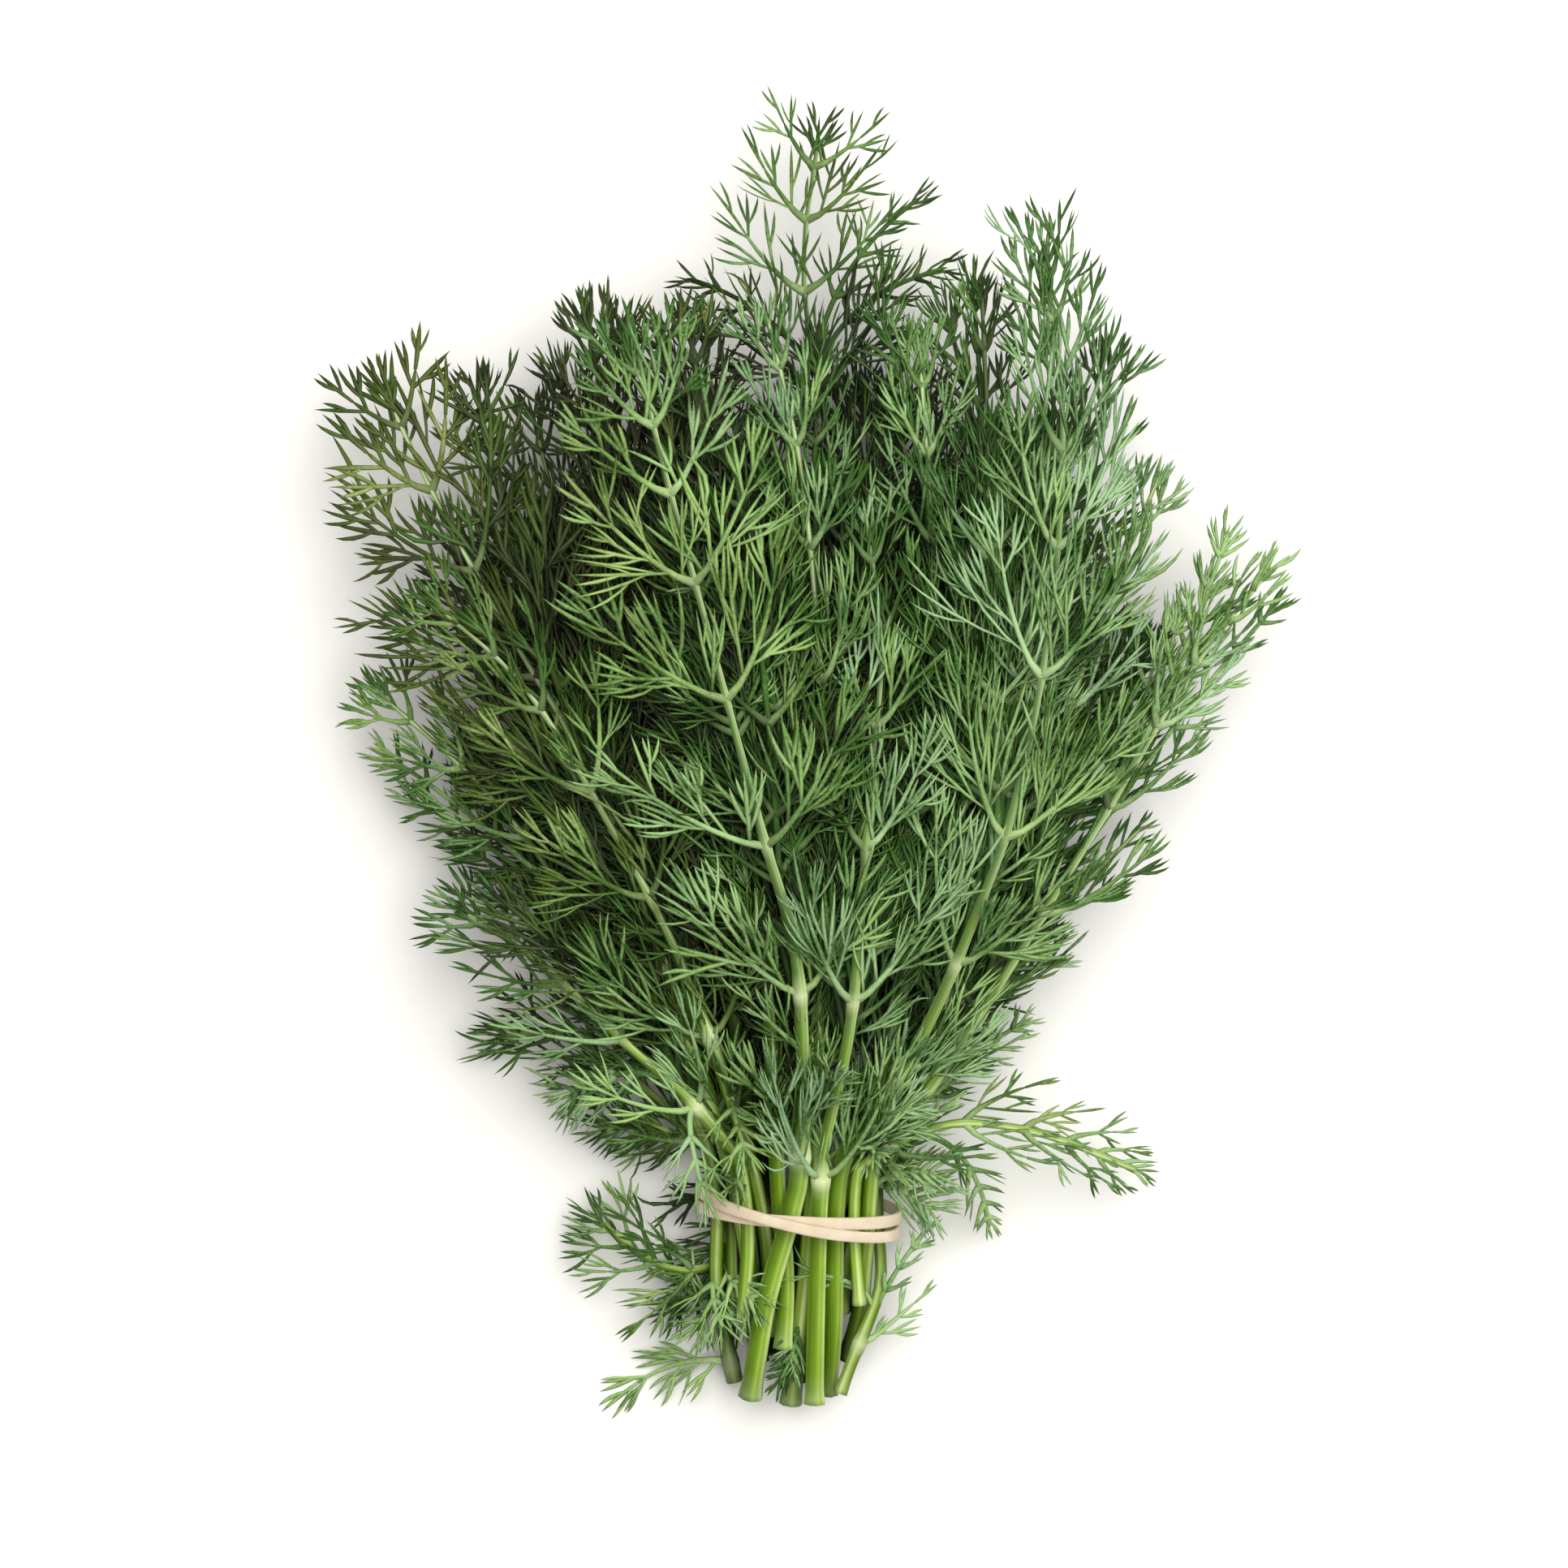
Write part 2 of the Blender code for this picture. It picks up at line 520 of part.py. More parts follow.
def main():
    for old in list(bpy.data.objects):
        bpy.data.objects.remove(old)
    bunch = bpy.data.collections.new("dill_bunch")
    bpy.context.scene.collection.children.link(bunch)
    green = plain_material("dill_green", LEAF_GREEN, 0.6)
    cream = plain_material("cream_rubber", BAND_CREAM, 0.7)
    bunch.objects.link(make_band(cream))

    raw = [smooth_path(row[1]) for row in LEAFY_STEMS]
    steps = [np.linspace(0, length_of(s), len(s)) for s in raw]
    girths = [stem_radius(row[2], row[3], length_of(s), d)
              for row, s, d in zip(LEAFY_STEMS, raw, steps)]
    spines = settled(raw, girths)

    room = Room()
    for row, spine, girth in zip(LEAFY_STEMS, spines, girths):
        room.take(spine[::2], girth[::2] + 0.1, row[0])
    room.take(band_path(), 0.55 * BAND_STRIP[0], "rubber_band")

    plans = [leaf_plan(room, number, row, spine)
             for number, (row, spine) in enumerate(zip(LEAFY_STEMS, spines))]
    for row, spine, plan in zip(LEAFY_STEMS, spines, plans):
        full = [(place, branch, twigs_of(room, branch)) for place, branch in plan]
        bunch.objects.link(make_leafy_stem(row[0], spine, row[2], row[3], full, green))


main()
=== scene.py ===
import math

import bpy
import numpy as np
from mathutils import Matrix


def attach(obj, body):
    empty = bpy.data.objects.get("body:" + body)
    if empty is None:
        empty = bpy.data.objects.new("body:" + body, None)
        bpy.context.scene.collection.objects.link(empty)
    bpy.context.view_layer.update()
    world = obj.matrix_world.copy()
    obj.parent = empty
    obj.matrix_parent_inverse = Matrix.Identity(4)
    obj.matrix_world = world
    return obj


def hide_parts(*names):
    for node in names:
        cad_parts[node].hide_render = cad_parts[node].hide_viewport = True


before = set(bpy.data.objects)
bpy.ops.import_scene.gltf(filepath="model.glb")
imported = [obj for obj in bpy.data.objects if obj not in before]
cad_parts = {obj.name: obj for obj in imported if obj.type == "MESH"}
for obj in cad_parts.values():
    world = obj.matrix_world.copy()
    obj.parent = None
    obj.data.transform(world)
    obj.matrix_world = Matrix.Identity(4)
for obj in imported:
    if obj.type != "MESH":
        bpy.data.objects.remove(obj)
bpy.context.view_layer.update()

# A bunch of fresh dill, lying on a table and held by one rubber band. The stems run along +Y, with
# their cut ends at -Y. Sizes are in millimetres, and MM turns them into Blender's metres.
MM = 0.001


# The rubber band
# A flat band of cream natural rubber, cut from a thin moulded tube and dusted with talc. It is
# stretched round the bare stems in two turns that cross once, on top.

# INNER is half the width and half the height that the band holds, and STRIP is the width and the
# thickness of its strip.
BAND_CENTRE = (-3.0, -84.3)
BAND_INNER = (18.0, 9.0)
BAND_STRIP = (2.5, 1.1)
BAND_GAP = 0.3
BAND_HEIGHT = BAND_STRIP[1] + BAND_GAP + BAND_INNER[1]
BAND_TILT = math.radians(-8)
BAND_SPREAD = 1.7
BAND_SWING = (1.12, 0.25)
BAND_CROSSING = math.radians(104)
BAND_HUMP = (1.5, 0.62)
BAND_SLACK = 0.7
BAND_PRESS = 0.06
BAND_SAG = 2.0
BAND_POINTS = 46
BAND_FINE_POINTS = 360
BAND_SECTION_POINTS = 16
BAND_HALF_WIDTH = 0.45 * BAND_STRIP[0]
BAND_EDGE = 0.55


def band_path(count, sag):
    """The middle line of the strip. The sag draws its top down toward the cut ends."""
    turn = np.linspace(0, 4 * math.pi, count, endpoint=False)
    angle = turn - math.pi + BAND_CROSSING
    swing = np.cos(turn / 2)
    apart = -BAND_SWING[0] * BAND_SPREAD * swing / np.sqrt(swing**2 + BAND_SWING[1])
    aside = apart - sag * np.sin(angle)
    from_crossing = np.abs(turn % (2 * math.pi) - math.pi)
    hump = np.clip(BAND_HUMP[0] - from_crossing / BAND_HUMP[1], 0, 1)
    over = np.where(turn < 2 * math.pi, hump, 0)
    lift = (BAND_STRIP[1] + BAND_GAP) * over**2 * (3 - 2 * over)
    half = BAND_GAP + BAND_STRIP[1] / 2 + lift
    x = (BAND_INNER[0] + half) * np.cos(angle)
    z = (BAND_INNER[1] + half + BAND_SLACK) * np.sin(angle) + BAND_HEIGHT
    x, y = (x * math.cos(BAND_TILT) - aside * math.sin(BAND_TILT),
            x * math.sin(BAND_TILT) + aside * math.cos(BAND_TILT))
    z = np.maximum(z, BAND_STRIP[1] / 2 - BAND_PRESS)
    return np.stack([x + BAND_CENTRE[0], y + BAND_CENTRE[1], z], axis=1)


def linear(colour):
    """Blender's linear colour for an sRGB hex colour."""
    share = [int(colour[k:k + 2], 16) / 255 for k in (1, 3, 5)]
    return (*[s / 12.92 if s <= 0.04045 else ((s + 0.055) / 1.055) ** 2.4 for s in share], 1)


# A Mix of colours takes its share at input 0 and its colours at 6 and 7. A MapRange takes its
# value at 0, the range that it reads at 1 and 2, and the range that it gives at 3 and 4.
def add(tree, kind, inputs=(), **settings):
    """Adds a shader node. Each input is a value, or the socket that feeds it."""
    made = tree.nodes.new("ShaderNode" + kind)
    for name, value in settings.items():
        setattr(made, name, value)
    for name, value in dict(inputs).items():
        if isinstance(value, bpy.types.NodeSocket):
            tree.links.new(value, made.inputs[name])
        else:
            made.inputs[name].default_value = value
    return made


def new_material(name):
    """An empty node material, with its tree, its output and the object's coordinates."""
    material = bpy.data.materials.new(name)
    material.use_nodes = True
    tree = material.node_tree
    tree.nodes.clear()
    out = tree.nodes.new("ShaderNodeOutputMaterial")
    return material, tree, out, add(tree, "TexCoord").outputs["Object"]


def scale_of(size):
    """A texture's scale, from the size of its pattern in millimetres."""
    return 1 / (size * MM)


def mesh_object(name, points, faces, materials, kinds=None, **values):
    """A smooth object with a mesh in metres. Values are numbers or colours kept at each point."""
    mesh = bpy.data.meshes.new(name)
    mesh.from_pydata((points * MM).tolist(), [], faces)
    for label, numbers in values.items():
        wide = np.ndim(numbers) == 2
        layer = mesh.attributes.new(label, "FLOAT_COLOR" if wide else "FLOAT", "POINT")
        layer.data.foreach_set("color" if wide else "value", np.ravel(numbers))
    for material in materials:
        mesh.materials.append(material)
    if kinds is not None:
        mesh.polygons.foreach_set("material_index", kinds)
    mesh.shade_smooth()
    made = bpy.data.objects.new(name, mesh)
    bpy.context.scene.collection.objects.link(made)
    return made


# Natural rubber, moulded and talced: dull and chalky, with faint cloudy mottling, so light spreads
# over it with almost no shine. Real talc is finer than the render shows, so its grain is drawn
# at a quarter of a millimetre.
RUBBER_CLOUDS = scale_of(3.85)
TALC_GRAIN = scale_of(0.238)
rubber, tree, out, place = new_material("cream_natural_rubber_talced")
cloud = add(tree, "TexNoise", {"Vector": place, "Scale": RUBBER_CLOUDS, "Detail": 3.0}).outputs[0]
dust = add(tree, "TexNoise", {"Vector": place, "Scale": TALC_GRAIN, "Detail": 2.0}).outputs[0]
cream = add(tree, "Mix", {0: cloud, 6: linear("#c3ab8c"), 7: linear("#e5dac4")}, data_type="RGBA")
chalk = add(tree, "MapRange", {0: dust, 1: 0.55, 2: 0.75, 3: 0.0, 4: 0.3}).outputs[0]
dusted = add(tree, "Mix", {0: chalk, 6: cream.outputs[2], 7: linear("#f2e6d8")}, data_type="RGBA")
grain = add(tree, "Bump", {"Height": dust, "Strength": 0.25, "Distance": 0.1 * MM}).outputs[0]
surface = add(tree, "BsdfPrincipled", {"Base Color": dusted.outputs[2], "Roughness": 0.62,
                                       "IOR": 1.52, "Normal": grain})
tree.links.new(surface.outputs[0], out.inputs[0])

path = band_path(BAND_FINE_POINTS, BAND_SAG)
lying = np.array([-math.sin(BAND_TILT), math.cos(BAND_TILT), 0])
along = np.roll(path, -1, axis=0) - np.roll(path, 1, axis=0)
along /= np.linalg.norm(along, axis=1)[:, None]
across = lying - along * (along @ lying)[:, None]
across /= np.linalg.norm(across, axis=1)[:, None]
outward = np.cross(across, along)
stretch = 2 * math.pi * np.arange(BAND_FINE_POINTS) / BAND_FINE_POINTS
wide = BAND_HALF_WIDTH * (1 + 0.05 * np.sin(3 * stretch + 1) + 0.03 * np.sin(11 * stretch))
angle = 2 * math.pi * np.arange(BAND_SECTION_POINTS) / BAND_SECTION_POINTS
flat = np.sign(np.cos(angle)) * np.abs(np.cos(angle)) ** BAND_EDGE
deep = np.sign(np.sin(angle)) * np.abs(np.sin(angle)) ** BAND_EDGE * BAND_STRIP[1] / 2
points = (path[:, None] + across[:, None] * flat[:, None] * wide[:, None, None]
          + outward[:, None] * deep[:, None])
points[..., 2] = np.maximum(points[..., 2], 0)
index = np.arange(points.shape[0] * points.shape[1]).reshape(points.shape[:2])
ahead, beside = np.roll(index, -1, axis=0), np.roll(index, -1, axis=1)
corner = np.roll(ahead, -1, axis=1)
faces = np.stack([index, beside, corner, ahead], axis=-1).reshape(-1, 4).tolist()
band = mesh_object("cream_rubber_band", points.reshape(-1, 3), faces, [rubber])
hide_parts("rubber_band")
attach(band, "root")


# The leafy stems
# Each is one cut dill stem: a ribbed, pale green stalk with pale swollen nodes, bearing a leaf
# that divides into opposite side branches, twigs and flat forked threads. All of it grew as one.

# First the stems, side branches and twigs that the solids have too. Sizes are in millimetres and
# angles in degrees. STRAYS are the spreads of normal draws, VARIES is a range, and the SHRINKS and
# TURNS are tried in order until a piece is clear of the others.
SEED = 11
SPINE_STEP = 2.5
STEM_GAP = 1.0
SETTLE_ROUNDS = 220
SETTLE_REACH = 14
SETTLE_PUSH = 0.35
SETTLE_EASE = 0.25
HELD_REACH = (BAND_INNER[0] + 4, 12)
EVEN_LENGTH = 60.0
BARE_TAPER = 0.12
LEAF_TAPER = 0.8
FIRST_DROP = 5
NODE_RATIO = 0.77
LEAF_SHARE = 0.72
RIB_TIP_RADIUS = 0.55
LEAST_GAP = 0.35
BRANCH_RADIUS = 0.85
BRANCH_TAPER = 0.7
BRANCH_STEPS = 16
BRANCH_BOW = 0.6
BRANCH_BEND = 38.0
BRANCH_CLOSING = 18.0
BRANCH_ROOT = 0.8
BRANCH_STRAYS = (9, 5)
BRANCH_SHRINKS = (1.0, 0.75)
BRANCH_TURNS = (0, 14, -14, 28, -28, 44, -44, 62, -62)
LOW_FULLNESS = 0.8
LOW_KEY = 50
TWIG_SPREAD = 36.0
TWIG_BEND = 9
TWIG_FOOT = (0.4, 0.9)
TWIG_SIZES = (8, 21)
TWIG_VARIES = (0.88, 1.12)
TWIG_STRAYS = (16, 4)
TWIG_SHRINKS = (1.0, 0.7)
TWIG_TURNS = (0, 24, -24, 48, -48, 75, -75)
NEEDLE_RADIUS = 0.6
NEEDLE_ROOT = 2.4
NEEDLE_LENGTH = 0.62
NEEDLE_SPREAD = 27.0
NEEDLE_LYING = 0.55
UPRIGHT = np.array([0, 0, 1.0])

# One row for each leafy stem, as the solids have it: the points that it runs through from cut
# end to tip, its radius at the cut end, the bare length below its first regular pair of side
# branches, the number of pairs, the longest of them, its roll, and the angle at which the lowest
# leave it. Last come its bloom, from 0 for fresh green to 1 for waxy blue-green or below 0 for
# olive, its light, from 0 for deep to 1 for pale, which is partly its own tone and partly painted
# light and shade for where it lies in the bunch, how far its threads bend toward its tip, and
# half a thread's width.
LEAFY_STEMS = (
    ("leafy_stem_01", ((-12, -119.5, 9), (-3, -85, 16), (-1, -73, 22), (-3, -38, 35),
                       (-10, -12, 44), (-18, 18, 50), (-28, 55, 48), (-33, 77, 43)),
     1.95, 112, 6, 37, 0, 62, 0.3, 0.68, 0.35, 0.49),
    ("leafy_stem_02", ((2.5, -119, 6), (8, -85, 14), (19, -59, 25), (29.5, -29, 37),
                       (35.5, -11, 42), (41.5, 18, 46), (45, 57, 44), (42, 94, 35)),
     1.8, 118, 7, 36, 6, 48, 0.62, 0.64, 0.85, 0.43),
    ("leafy_stem_03", ((0, -120.5, 11), (2, -85, 16.5), (3, -71, 22), (7, -47, 33),
                       (10, -4, 42), (12, 20, 42), (9, 46, 38)),
     1.75, 43, 6, 34, -8, 50, 0.65, 0.7, 0.8, 0.43),
    ("leafy_stem_04", ((6, -113, 4), (13, -84, 11), (27, -56, 22), (41, -30.5, 29),
                       (56, -6, 29), (70, 17, 26), (85, 36, 19)),
     1.7, 98, 6, 27, 10, 46, 0.35, 0.56, 1.25, 0.42),
    ("leafy_stem_05", ((-4.5, -121, 6), (-1, -85, 11), (1, -40, 25), (2, -2, 35), (0, 28, 41),
                       (-3, 55, 42), (-9, 82, 37)),
     1.85, 66, 6, 34, -14, 50, 0.4, 0.68, 0.8, 0.43),
    ("leafy_stem_06", ((4, -106, 7), (6, -85, 9), (17, -40, 20), (23, 5, 30), (22, 35, 34),
                       (19, 78, 32)),
     1.6, 66, 6, 32, 16, 48, 0.4, 0.7, 0.8, 0.42),
    ("leafy_stem_07", ((-10, -113, 6), (-13, -85, 12), (-25, -47, 21), (-39, -7, 27),
                       (-58, 26, 27), (-71, 50, 23), (-81, 71, 18)),
     1.7, 70, 6, 42, -10, 60, -0.3, 0.3, 0.05, 0.54),
    ("leafy_stem_08", ((-15, -117, 4), (-16, -85, 8), (-31, -47, 15), (-46, -25, 19),
                       (-61, -6, 19), (-83, 14, 14)),
     1.35, 62, 5, 27, -6, 58, 0.3, 0.58, 0.45, 0.44),
    ("leafy_stem_09", ((-11, -104, 9), (-15, -85, 13), (-25, -65, 19), (-36, -53, 22),
                       (-52, -37, 21), (-68, -27, 16)),
     1.35, 44, 5, 25, 10, 56, 0.5, 0.5, 0.5, 0.42),
    ("leafy_stem_10", ((-2, -117, 3), (-3, -85, 6), (-2, -25, 13), (2, 20, 20), (3, 52, 24),
                       (-2, 89, 23), (1, 118, 17)),
     1.8, 96, 7, 42, 8, 72, 0.1, 0.56, 0.1, 0.36),
    ("leafy_stem_11", ((-7, -112, 4), (-9, -85, 6), (-16, -40, 16), (-29, 13, 26),
                       (-37, 50, 28), (-42, 84, 24)),
     1.6, 68, 6, 31, -30, 52, -0.2, 0.34, 0.5, 0.45),
    ("leafy_stem_12", ((-6.5, -109.5, 11), (-7, -85, 13), (-9, -40, 27), (-16, 13, 36),
                       (-20, 50, 38), (-23, 82, 33)),
     1.6, 74, 6, 31, 22, 50, -0.08, 0.34, 0.6, 0.45),
    ("leafy_stem_13", ((2.5, -111, 3), (4, -85, 5), (17, -40, 14), (28, 5, 22), (32, 43, 26),
                       (31, 87, 22)),
     1.6, 62, 6, 30, 34, 46, 0.15, 0.66, 0.7, 0.42),
    ("leafy_stem_14", ((6, -108, 7), (11, -85, 7), (29, -34, 21), (45, 5, 29), (55, 32, 28),
                       (64, 53, 23)),
     1.5, 64, 5, 28, 12, 46, 0.6, 0.72, 1.0, 0.42),
    ("leafy_stem_15", ((4, -104, 3), (9, -85, 5), (24, -30, 11), (40, 15, 16), (50, 45, 17),
                       (56, 76, 14)),
     1.5, 60, 6, 28, -20, 48, 0.35, 0.76, 0.7, 0.42),
    ("leafy_stem_16", ((4.5, -118.5, 9), (7, -109, 9), (14, -87, 7), (24, -61, 10),
                       (37, -41, 13), (48, -26, 13), (62, -12, 10)),
     1.15, 66, 4, 20, 8, 50, 0.4, 0.5, 0.5, 0.36),
    ("leafy_stem_17", ((8, -102, 11), (12.5, -86, 15), (18, -75, 20), (27, -68, 23),
                       (35, -67, 23), (46, -70, 18), (61, -77, 11)),
     1.2, 34, 6, 22, -10, 50, 0.3, 0.16, 0.5, 0.34),
    ("leafy_stem_18", ((-14, -103, 6), (-16, -85, 7), (-20, -74, 9), (-33, -61, 10),
                       (-47, -52, 10), (-60, -52, 8)),
     1.2, 34, 5, 21, 12, 58, 0.2, 0.38, 0.4, 0.38),
    ("leafy_stem_19", ((-7, -106, 3), (-9, -85, 4), (-24, -32, 7), (-40, 8, 9), (-56, 42, 7)),
     1.4, 50, 5, 32, -8, 54, -0.2, 0.3, 0.5, 0.42),
    ("leafy_stem_20", ((-1, -108, 3), (-1, -85, 4), (3, -32, 6), (9, 20, 8), (15, 72, 7)),
     1.5, 48, 5, 36, 6, 50, 0.35, 0.54, 0.6, 0.42),
    ("leafy_stem_21", ((-13, -66, 4), (-17, -84, 4), (-22, -93, 6), (-29, -96, 9),
                       (-35, -93, 9), (-41, -86, 6)),
     1.1, 27, 5, 18, 4, 60, 0.2, 0.2, 0.4, 0.38),
    ("leafy_stem_22", ((-9, -108, 9), (-11, -85, 10), (-24, -40, 26), (-40, -8, 34),
                       (-54, 14, 34), (-72, 30, 26)),
     1.5, 60, 6, 32, -12, 56, 0.0, 0.52, 0.5, 0.46),
    ("leafy_stem_23", ((-5, -103, 6), (-6, -85, 8), (-17, -40, 12), (-33, 5, 17), (-46, 40, 18),
                       (-53, 66, 15)),
     1.3, 96, 5, 28, 16, 54, -0.2, 0.3, 0.5, 0.44),
)

# Further side branches, low on their stems: the stem that bears each, its place up that stem,
# its side (-1 left, 1 right), its length, and the angles at which it leaves and ends.
LOW_BRANCHES = (
    ("leafy_stem_01", 48.0, -1, 26.0, 34.0, 16.0),
    ("leafy_stem_01", 48.0, 1, 24.0, 34.0, 16.0),
    ("leafy_stem_01", 82.0, -1, 36.0, 54.0, 24.0),
    ("leafy_stem_01", 82.0, 1, 32.0, 46.0, 18.0),
    ("leafy_stem_02", 64.0, 1, 26.0, 42.0, 18.0),
    ("leafy_stem_02", 92.0, -1, 34.0, 44.0, 14.0),
    ("leafy_stem_02", 92.0, 1, 30.0, 42.0, 16.0),
    ("leafy_stem_08", 4.0, -1, 28.0, 62.0, 130.0),
    ("leafy_stem_08", 15.0, -1, 20.0, 70.0, 20.0),
    ("leafy_stem_16", 10.0, 1, 20.0, 30.0, 26.0),
)


# Small leaves that hang out of the bunch, which the solids leave out, under the stem that bears
# them: the place up that stem, where it ends, the length of its side branches and its light,
# which is partly painted light and shade.
FURTHER_LEAVES = {
    "leafy_stem_02": ((44.0, (18, -64, 27), 12.0, 0.68),),
    "leafy_stem_04": ((128.0, (74, 34, 21), 15.0, 0.62), (122.0, (77, 43, 20), 12.0, 0.62),
                      (112.0, (68, 28, 24), 15.0, 0.6), (110.0, (87, 30, 17), 11.0, 0.52),
                      (34.0, (23, -77, 19), 11.0, 0.65)),
    "leafy_stem_05": ((150.0, (1, 76, 30), 17.0, 0.5), (10.0, (-6.5, -116, 12), 5.0, 0.05),
                      (16.0, (-4.5, -113, 13), 6.0, 0.1), (50.0, (3, -58, 28), 12.0, 0.7)),
    "leafy_stem_06": ((150.0, (12, 82, 30), 15.0, 0.5), (34.0, (11, -73, 24), 9.0, 0.7)),
    "leafy_stem_07": ((118.0, (-63, 70, 20), 21.0, 0.3),),
    "leafy_stem_08": ((74.0, (-66, -16, 11), 14.0, 0.48), (84.0, (-76, -7, 10), 12.0, 0.58),
                      (92.0, (-82, 2, 10), 11.0, 0.6)),
    "leafy_stem_09": ((52.0, (-46, -63, 13), 13.0, 0.4), (44.0, (-20, -82, 24), 10.0, 0.68)),
    "leafy_stem_10": ((190.0, (25, 92, 14), 9.0, 0.45), (192.0, (20, 105, 17), 9.0, 0.5),
                      (189.0, (-24, 90, 14), 9.0, 0.4)),
    "leafy_stem_11": ((150.0, (-36, 82, 20), 20.0, 0.3), (140.0, (-49, 74, 18), 18.0, 0.3),
                      (36.0, (-32, -70, 8), 12.0, 0.25)),
    "leafy_stem_12": ((150.0, (-30, 80, 26), 19.0, 0.4), (140.0, (-20, 82, 22), 19.0, 0.3),
                      (34.0, (-9, -62, 29), 10.0, 0.7)),
    "leafy_stem_13": ((150.0, (24, 84, 24), 17.0, 0.5), (34.0, (16, -76, 22), 9.0, 0.7),
                      (140.0, (29, 90, 20), 15.0, 0.5)),
    "leafy_stem_14": ((24.0, (22, -84, 15), 11.0, 0.6),),
    "leafy_stem_15": ((32.0, (19, -78, 17), 9.0, 0.65),),
    "leafy_stem_16": ((14.0, (21, -88, 9), 8.0, 0.4), (17.0, (-1, -96, 15), 7.0, 0.6),
                      (38.0, (41, -48, 12), 11.0, 0.6)),
    "leafy_stem_17": ((40.0, (33, -88, 7), 11.0, 0.2),),
    "leafy_stem_18": ((30.0, (-40, -69, 6), 12.0, 0.25),),
    "leafy_stem_20": ((140.0, (2, 72, 14), 20.0, 0.5),),
    "leafy_stem_21": ((6.0, (-27, -84, 5), 8.0, 0.2), (14.0, (-27, -104, 6), 11.0, 0.2),
                      (18.0, (-22, -107, 11), 12.0, 0.3), (29.0, (-11, -101, 15), 11.0, 0.6),
                      (31.0, (-17, -106, 14), 10.0, 0.55)),
    "leafy_stem_22": ((46.0, (-13, -72, 27), 12.0, 0.66), (32.0, (-15, -79, 20), 8.0, 0.65)),
}

# How full a leaf is, for those that aren't ordinary: below 1 it has fewer and shorter threads, and
# above 1 longer ones that stand further apart.
FULLNESS = {"leafy_stem_04": 0.88, "leafy_stem_07": 1.14, "leafy_stem_16": 0.75,
            "leafy_stem_17": 0.7}

# The sides on which an under leaf grows, for the stems that don't have four pairs of them.
UNDER_HANDS = {"leafy_stem_04": (-1,) * 5, "leafy_stem_07": (-1, 1) * 2, "leafy_stem_10": ()}


def unit(vector):
    return vector / np.linalg.norm(vector)


def turned(vector, axis, degrees):
    """The vector turned about a unit axis."""
    angle = math.radians(degrees)
    return (vector * math.cos(angle) + np.cross(axis, vector) * math.sin(angle)
            + axis * (axis @ vector) * (1 - math.cos(angle)))


def ramp(value, start, span):
    """0 up to a start, then rising evenly to 1 over a span."""
    return np.clip((value - start) / span, 0, 1)


def at(path, distance):
    """The point at a distance along a path."""
    steps = np.linalg.norm(np.diff(path, axis=0), axis=1)
    length = np.concatenate([[0], np.cumsum(steps)])
    return np.array([np.interp(distance, length, path[:, k]) for k in range(3)]).T


def length_of(path):
    return np.linalg.norm(np.diff(path, axis=0), axis=1).sum()


def smooth_path(points):
    """A smooth curve through a few points, as points SPINE_STEP apart."""
    points = np.array(points, float)
    before, after = 2 * points[0] - points[1], 2 * points[-1] - points[-2]
    p = np.vstack([before, points, after])
    t = np.linspace(0, 1, 12, endpoint=False)[:, None]
    fine = [0.5 * (2 * b + (c - a) * t + (2 * a - 5 * b + 4 * c - d) * t**2
                   + (3 * b - 3 * c + d - a) * t**3)
            for a, b, c, d in zip(p, p[1:], p[2:], p[3:])]
    fine = np.vstack([*fine, points[-1:]])
    return at(fine, np.linspace(0, length_of(fine), round(length_of(fine) / SPINE_STEP) + 1))


def stem_radius(radius, bare, length, distance):
    """A stem's radius at a distance from its cut end: nearly even while bare, then tapering."""
    first = min(bare, EVEN_LENGTH)
    leafy = ramp(distance, first, length - first)
    low = radius * (1 - BARE_TAPER * ramp(distance, 0, first))
    drop = 1 - (1 - LEAF_SHARE) * ramp(distance, first, FIRST_DROP)
    return RIB_TIP_RADIUS + (low * drop - RIB_TIP_RADIUS) * (1 - leafy) ** LEAF_TAPER


def stance(path, place, roll, reach=2):
    """A path's direction at a place, and the way that its leaf faces, rolled about it."""
    along = unit(at(path, place + reach) - at(path, place - reach))
    return along, turned(unit(UPRIGHT - along * along[2]), along, roll)


def settled(spines, radii):
    """Presses the stems apart where they would overlap, inside the band and above the table."""
    owner = np.concatenate([[i] * len(s) for i, s in enumerate(spines)])
    start, radius = np.vstack(spines), np.concatenate(radii)
    gaps = np.linalg.norm(start[:, None] - start[None], axis=2)
    one, two = np.nonzero((owner[:, None] != owner[None]) & (gaps < SETTLE_REACH))
    apart = radius[one] + radius[two] + STEM_GAP
    near_band = (np.abs(start[:, :2] - BAND_CENTRE) < HELD_REACH).all(axis=1)
    centre = np.array([BAND_CENTRE[0], BAND_HEIGHT])
    room = np.array(BAND_INNER) - radius[:, None]
    points = start.copy()
    ends = np.cumsum([len(s) for s in spines])[:-1]
    for _ in range(SETTLE_ROUNDS):
        way = points[one] - points[two]
        distance = np.linalg.norm(way, axis=1) + 1e-9
        push = SETTLE_PUSH * np.maximum(apart - distance, 0) / distance
        shift = points - start
        np.add.at(shift, one, way * push[:, None])
        for piece in np.split(shift, ends):
            piece[1:-1] += SETTLE_EASE * (piece[:-2] + piece[2:] - 2 * piece[1:-1])
        points = start + shift
        off = (points[:, [0, 2]] - centre) / room
        outside = np.maximum(np.linalg.norm(off, axis=1), 1)[:, None]
        held = centre + off / outside * room
        points[:, [0, 2]] = np.where(near_band[:, None], held, points[:, [0, 2]])
        points[:, 2] = np.maximum(points[:, 2], radius + 0.1)
    return np.split(points, ends)


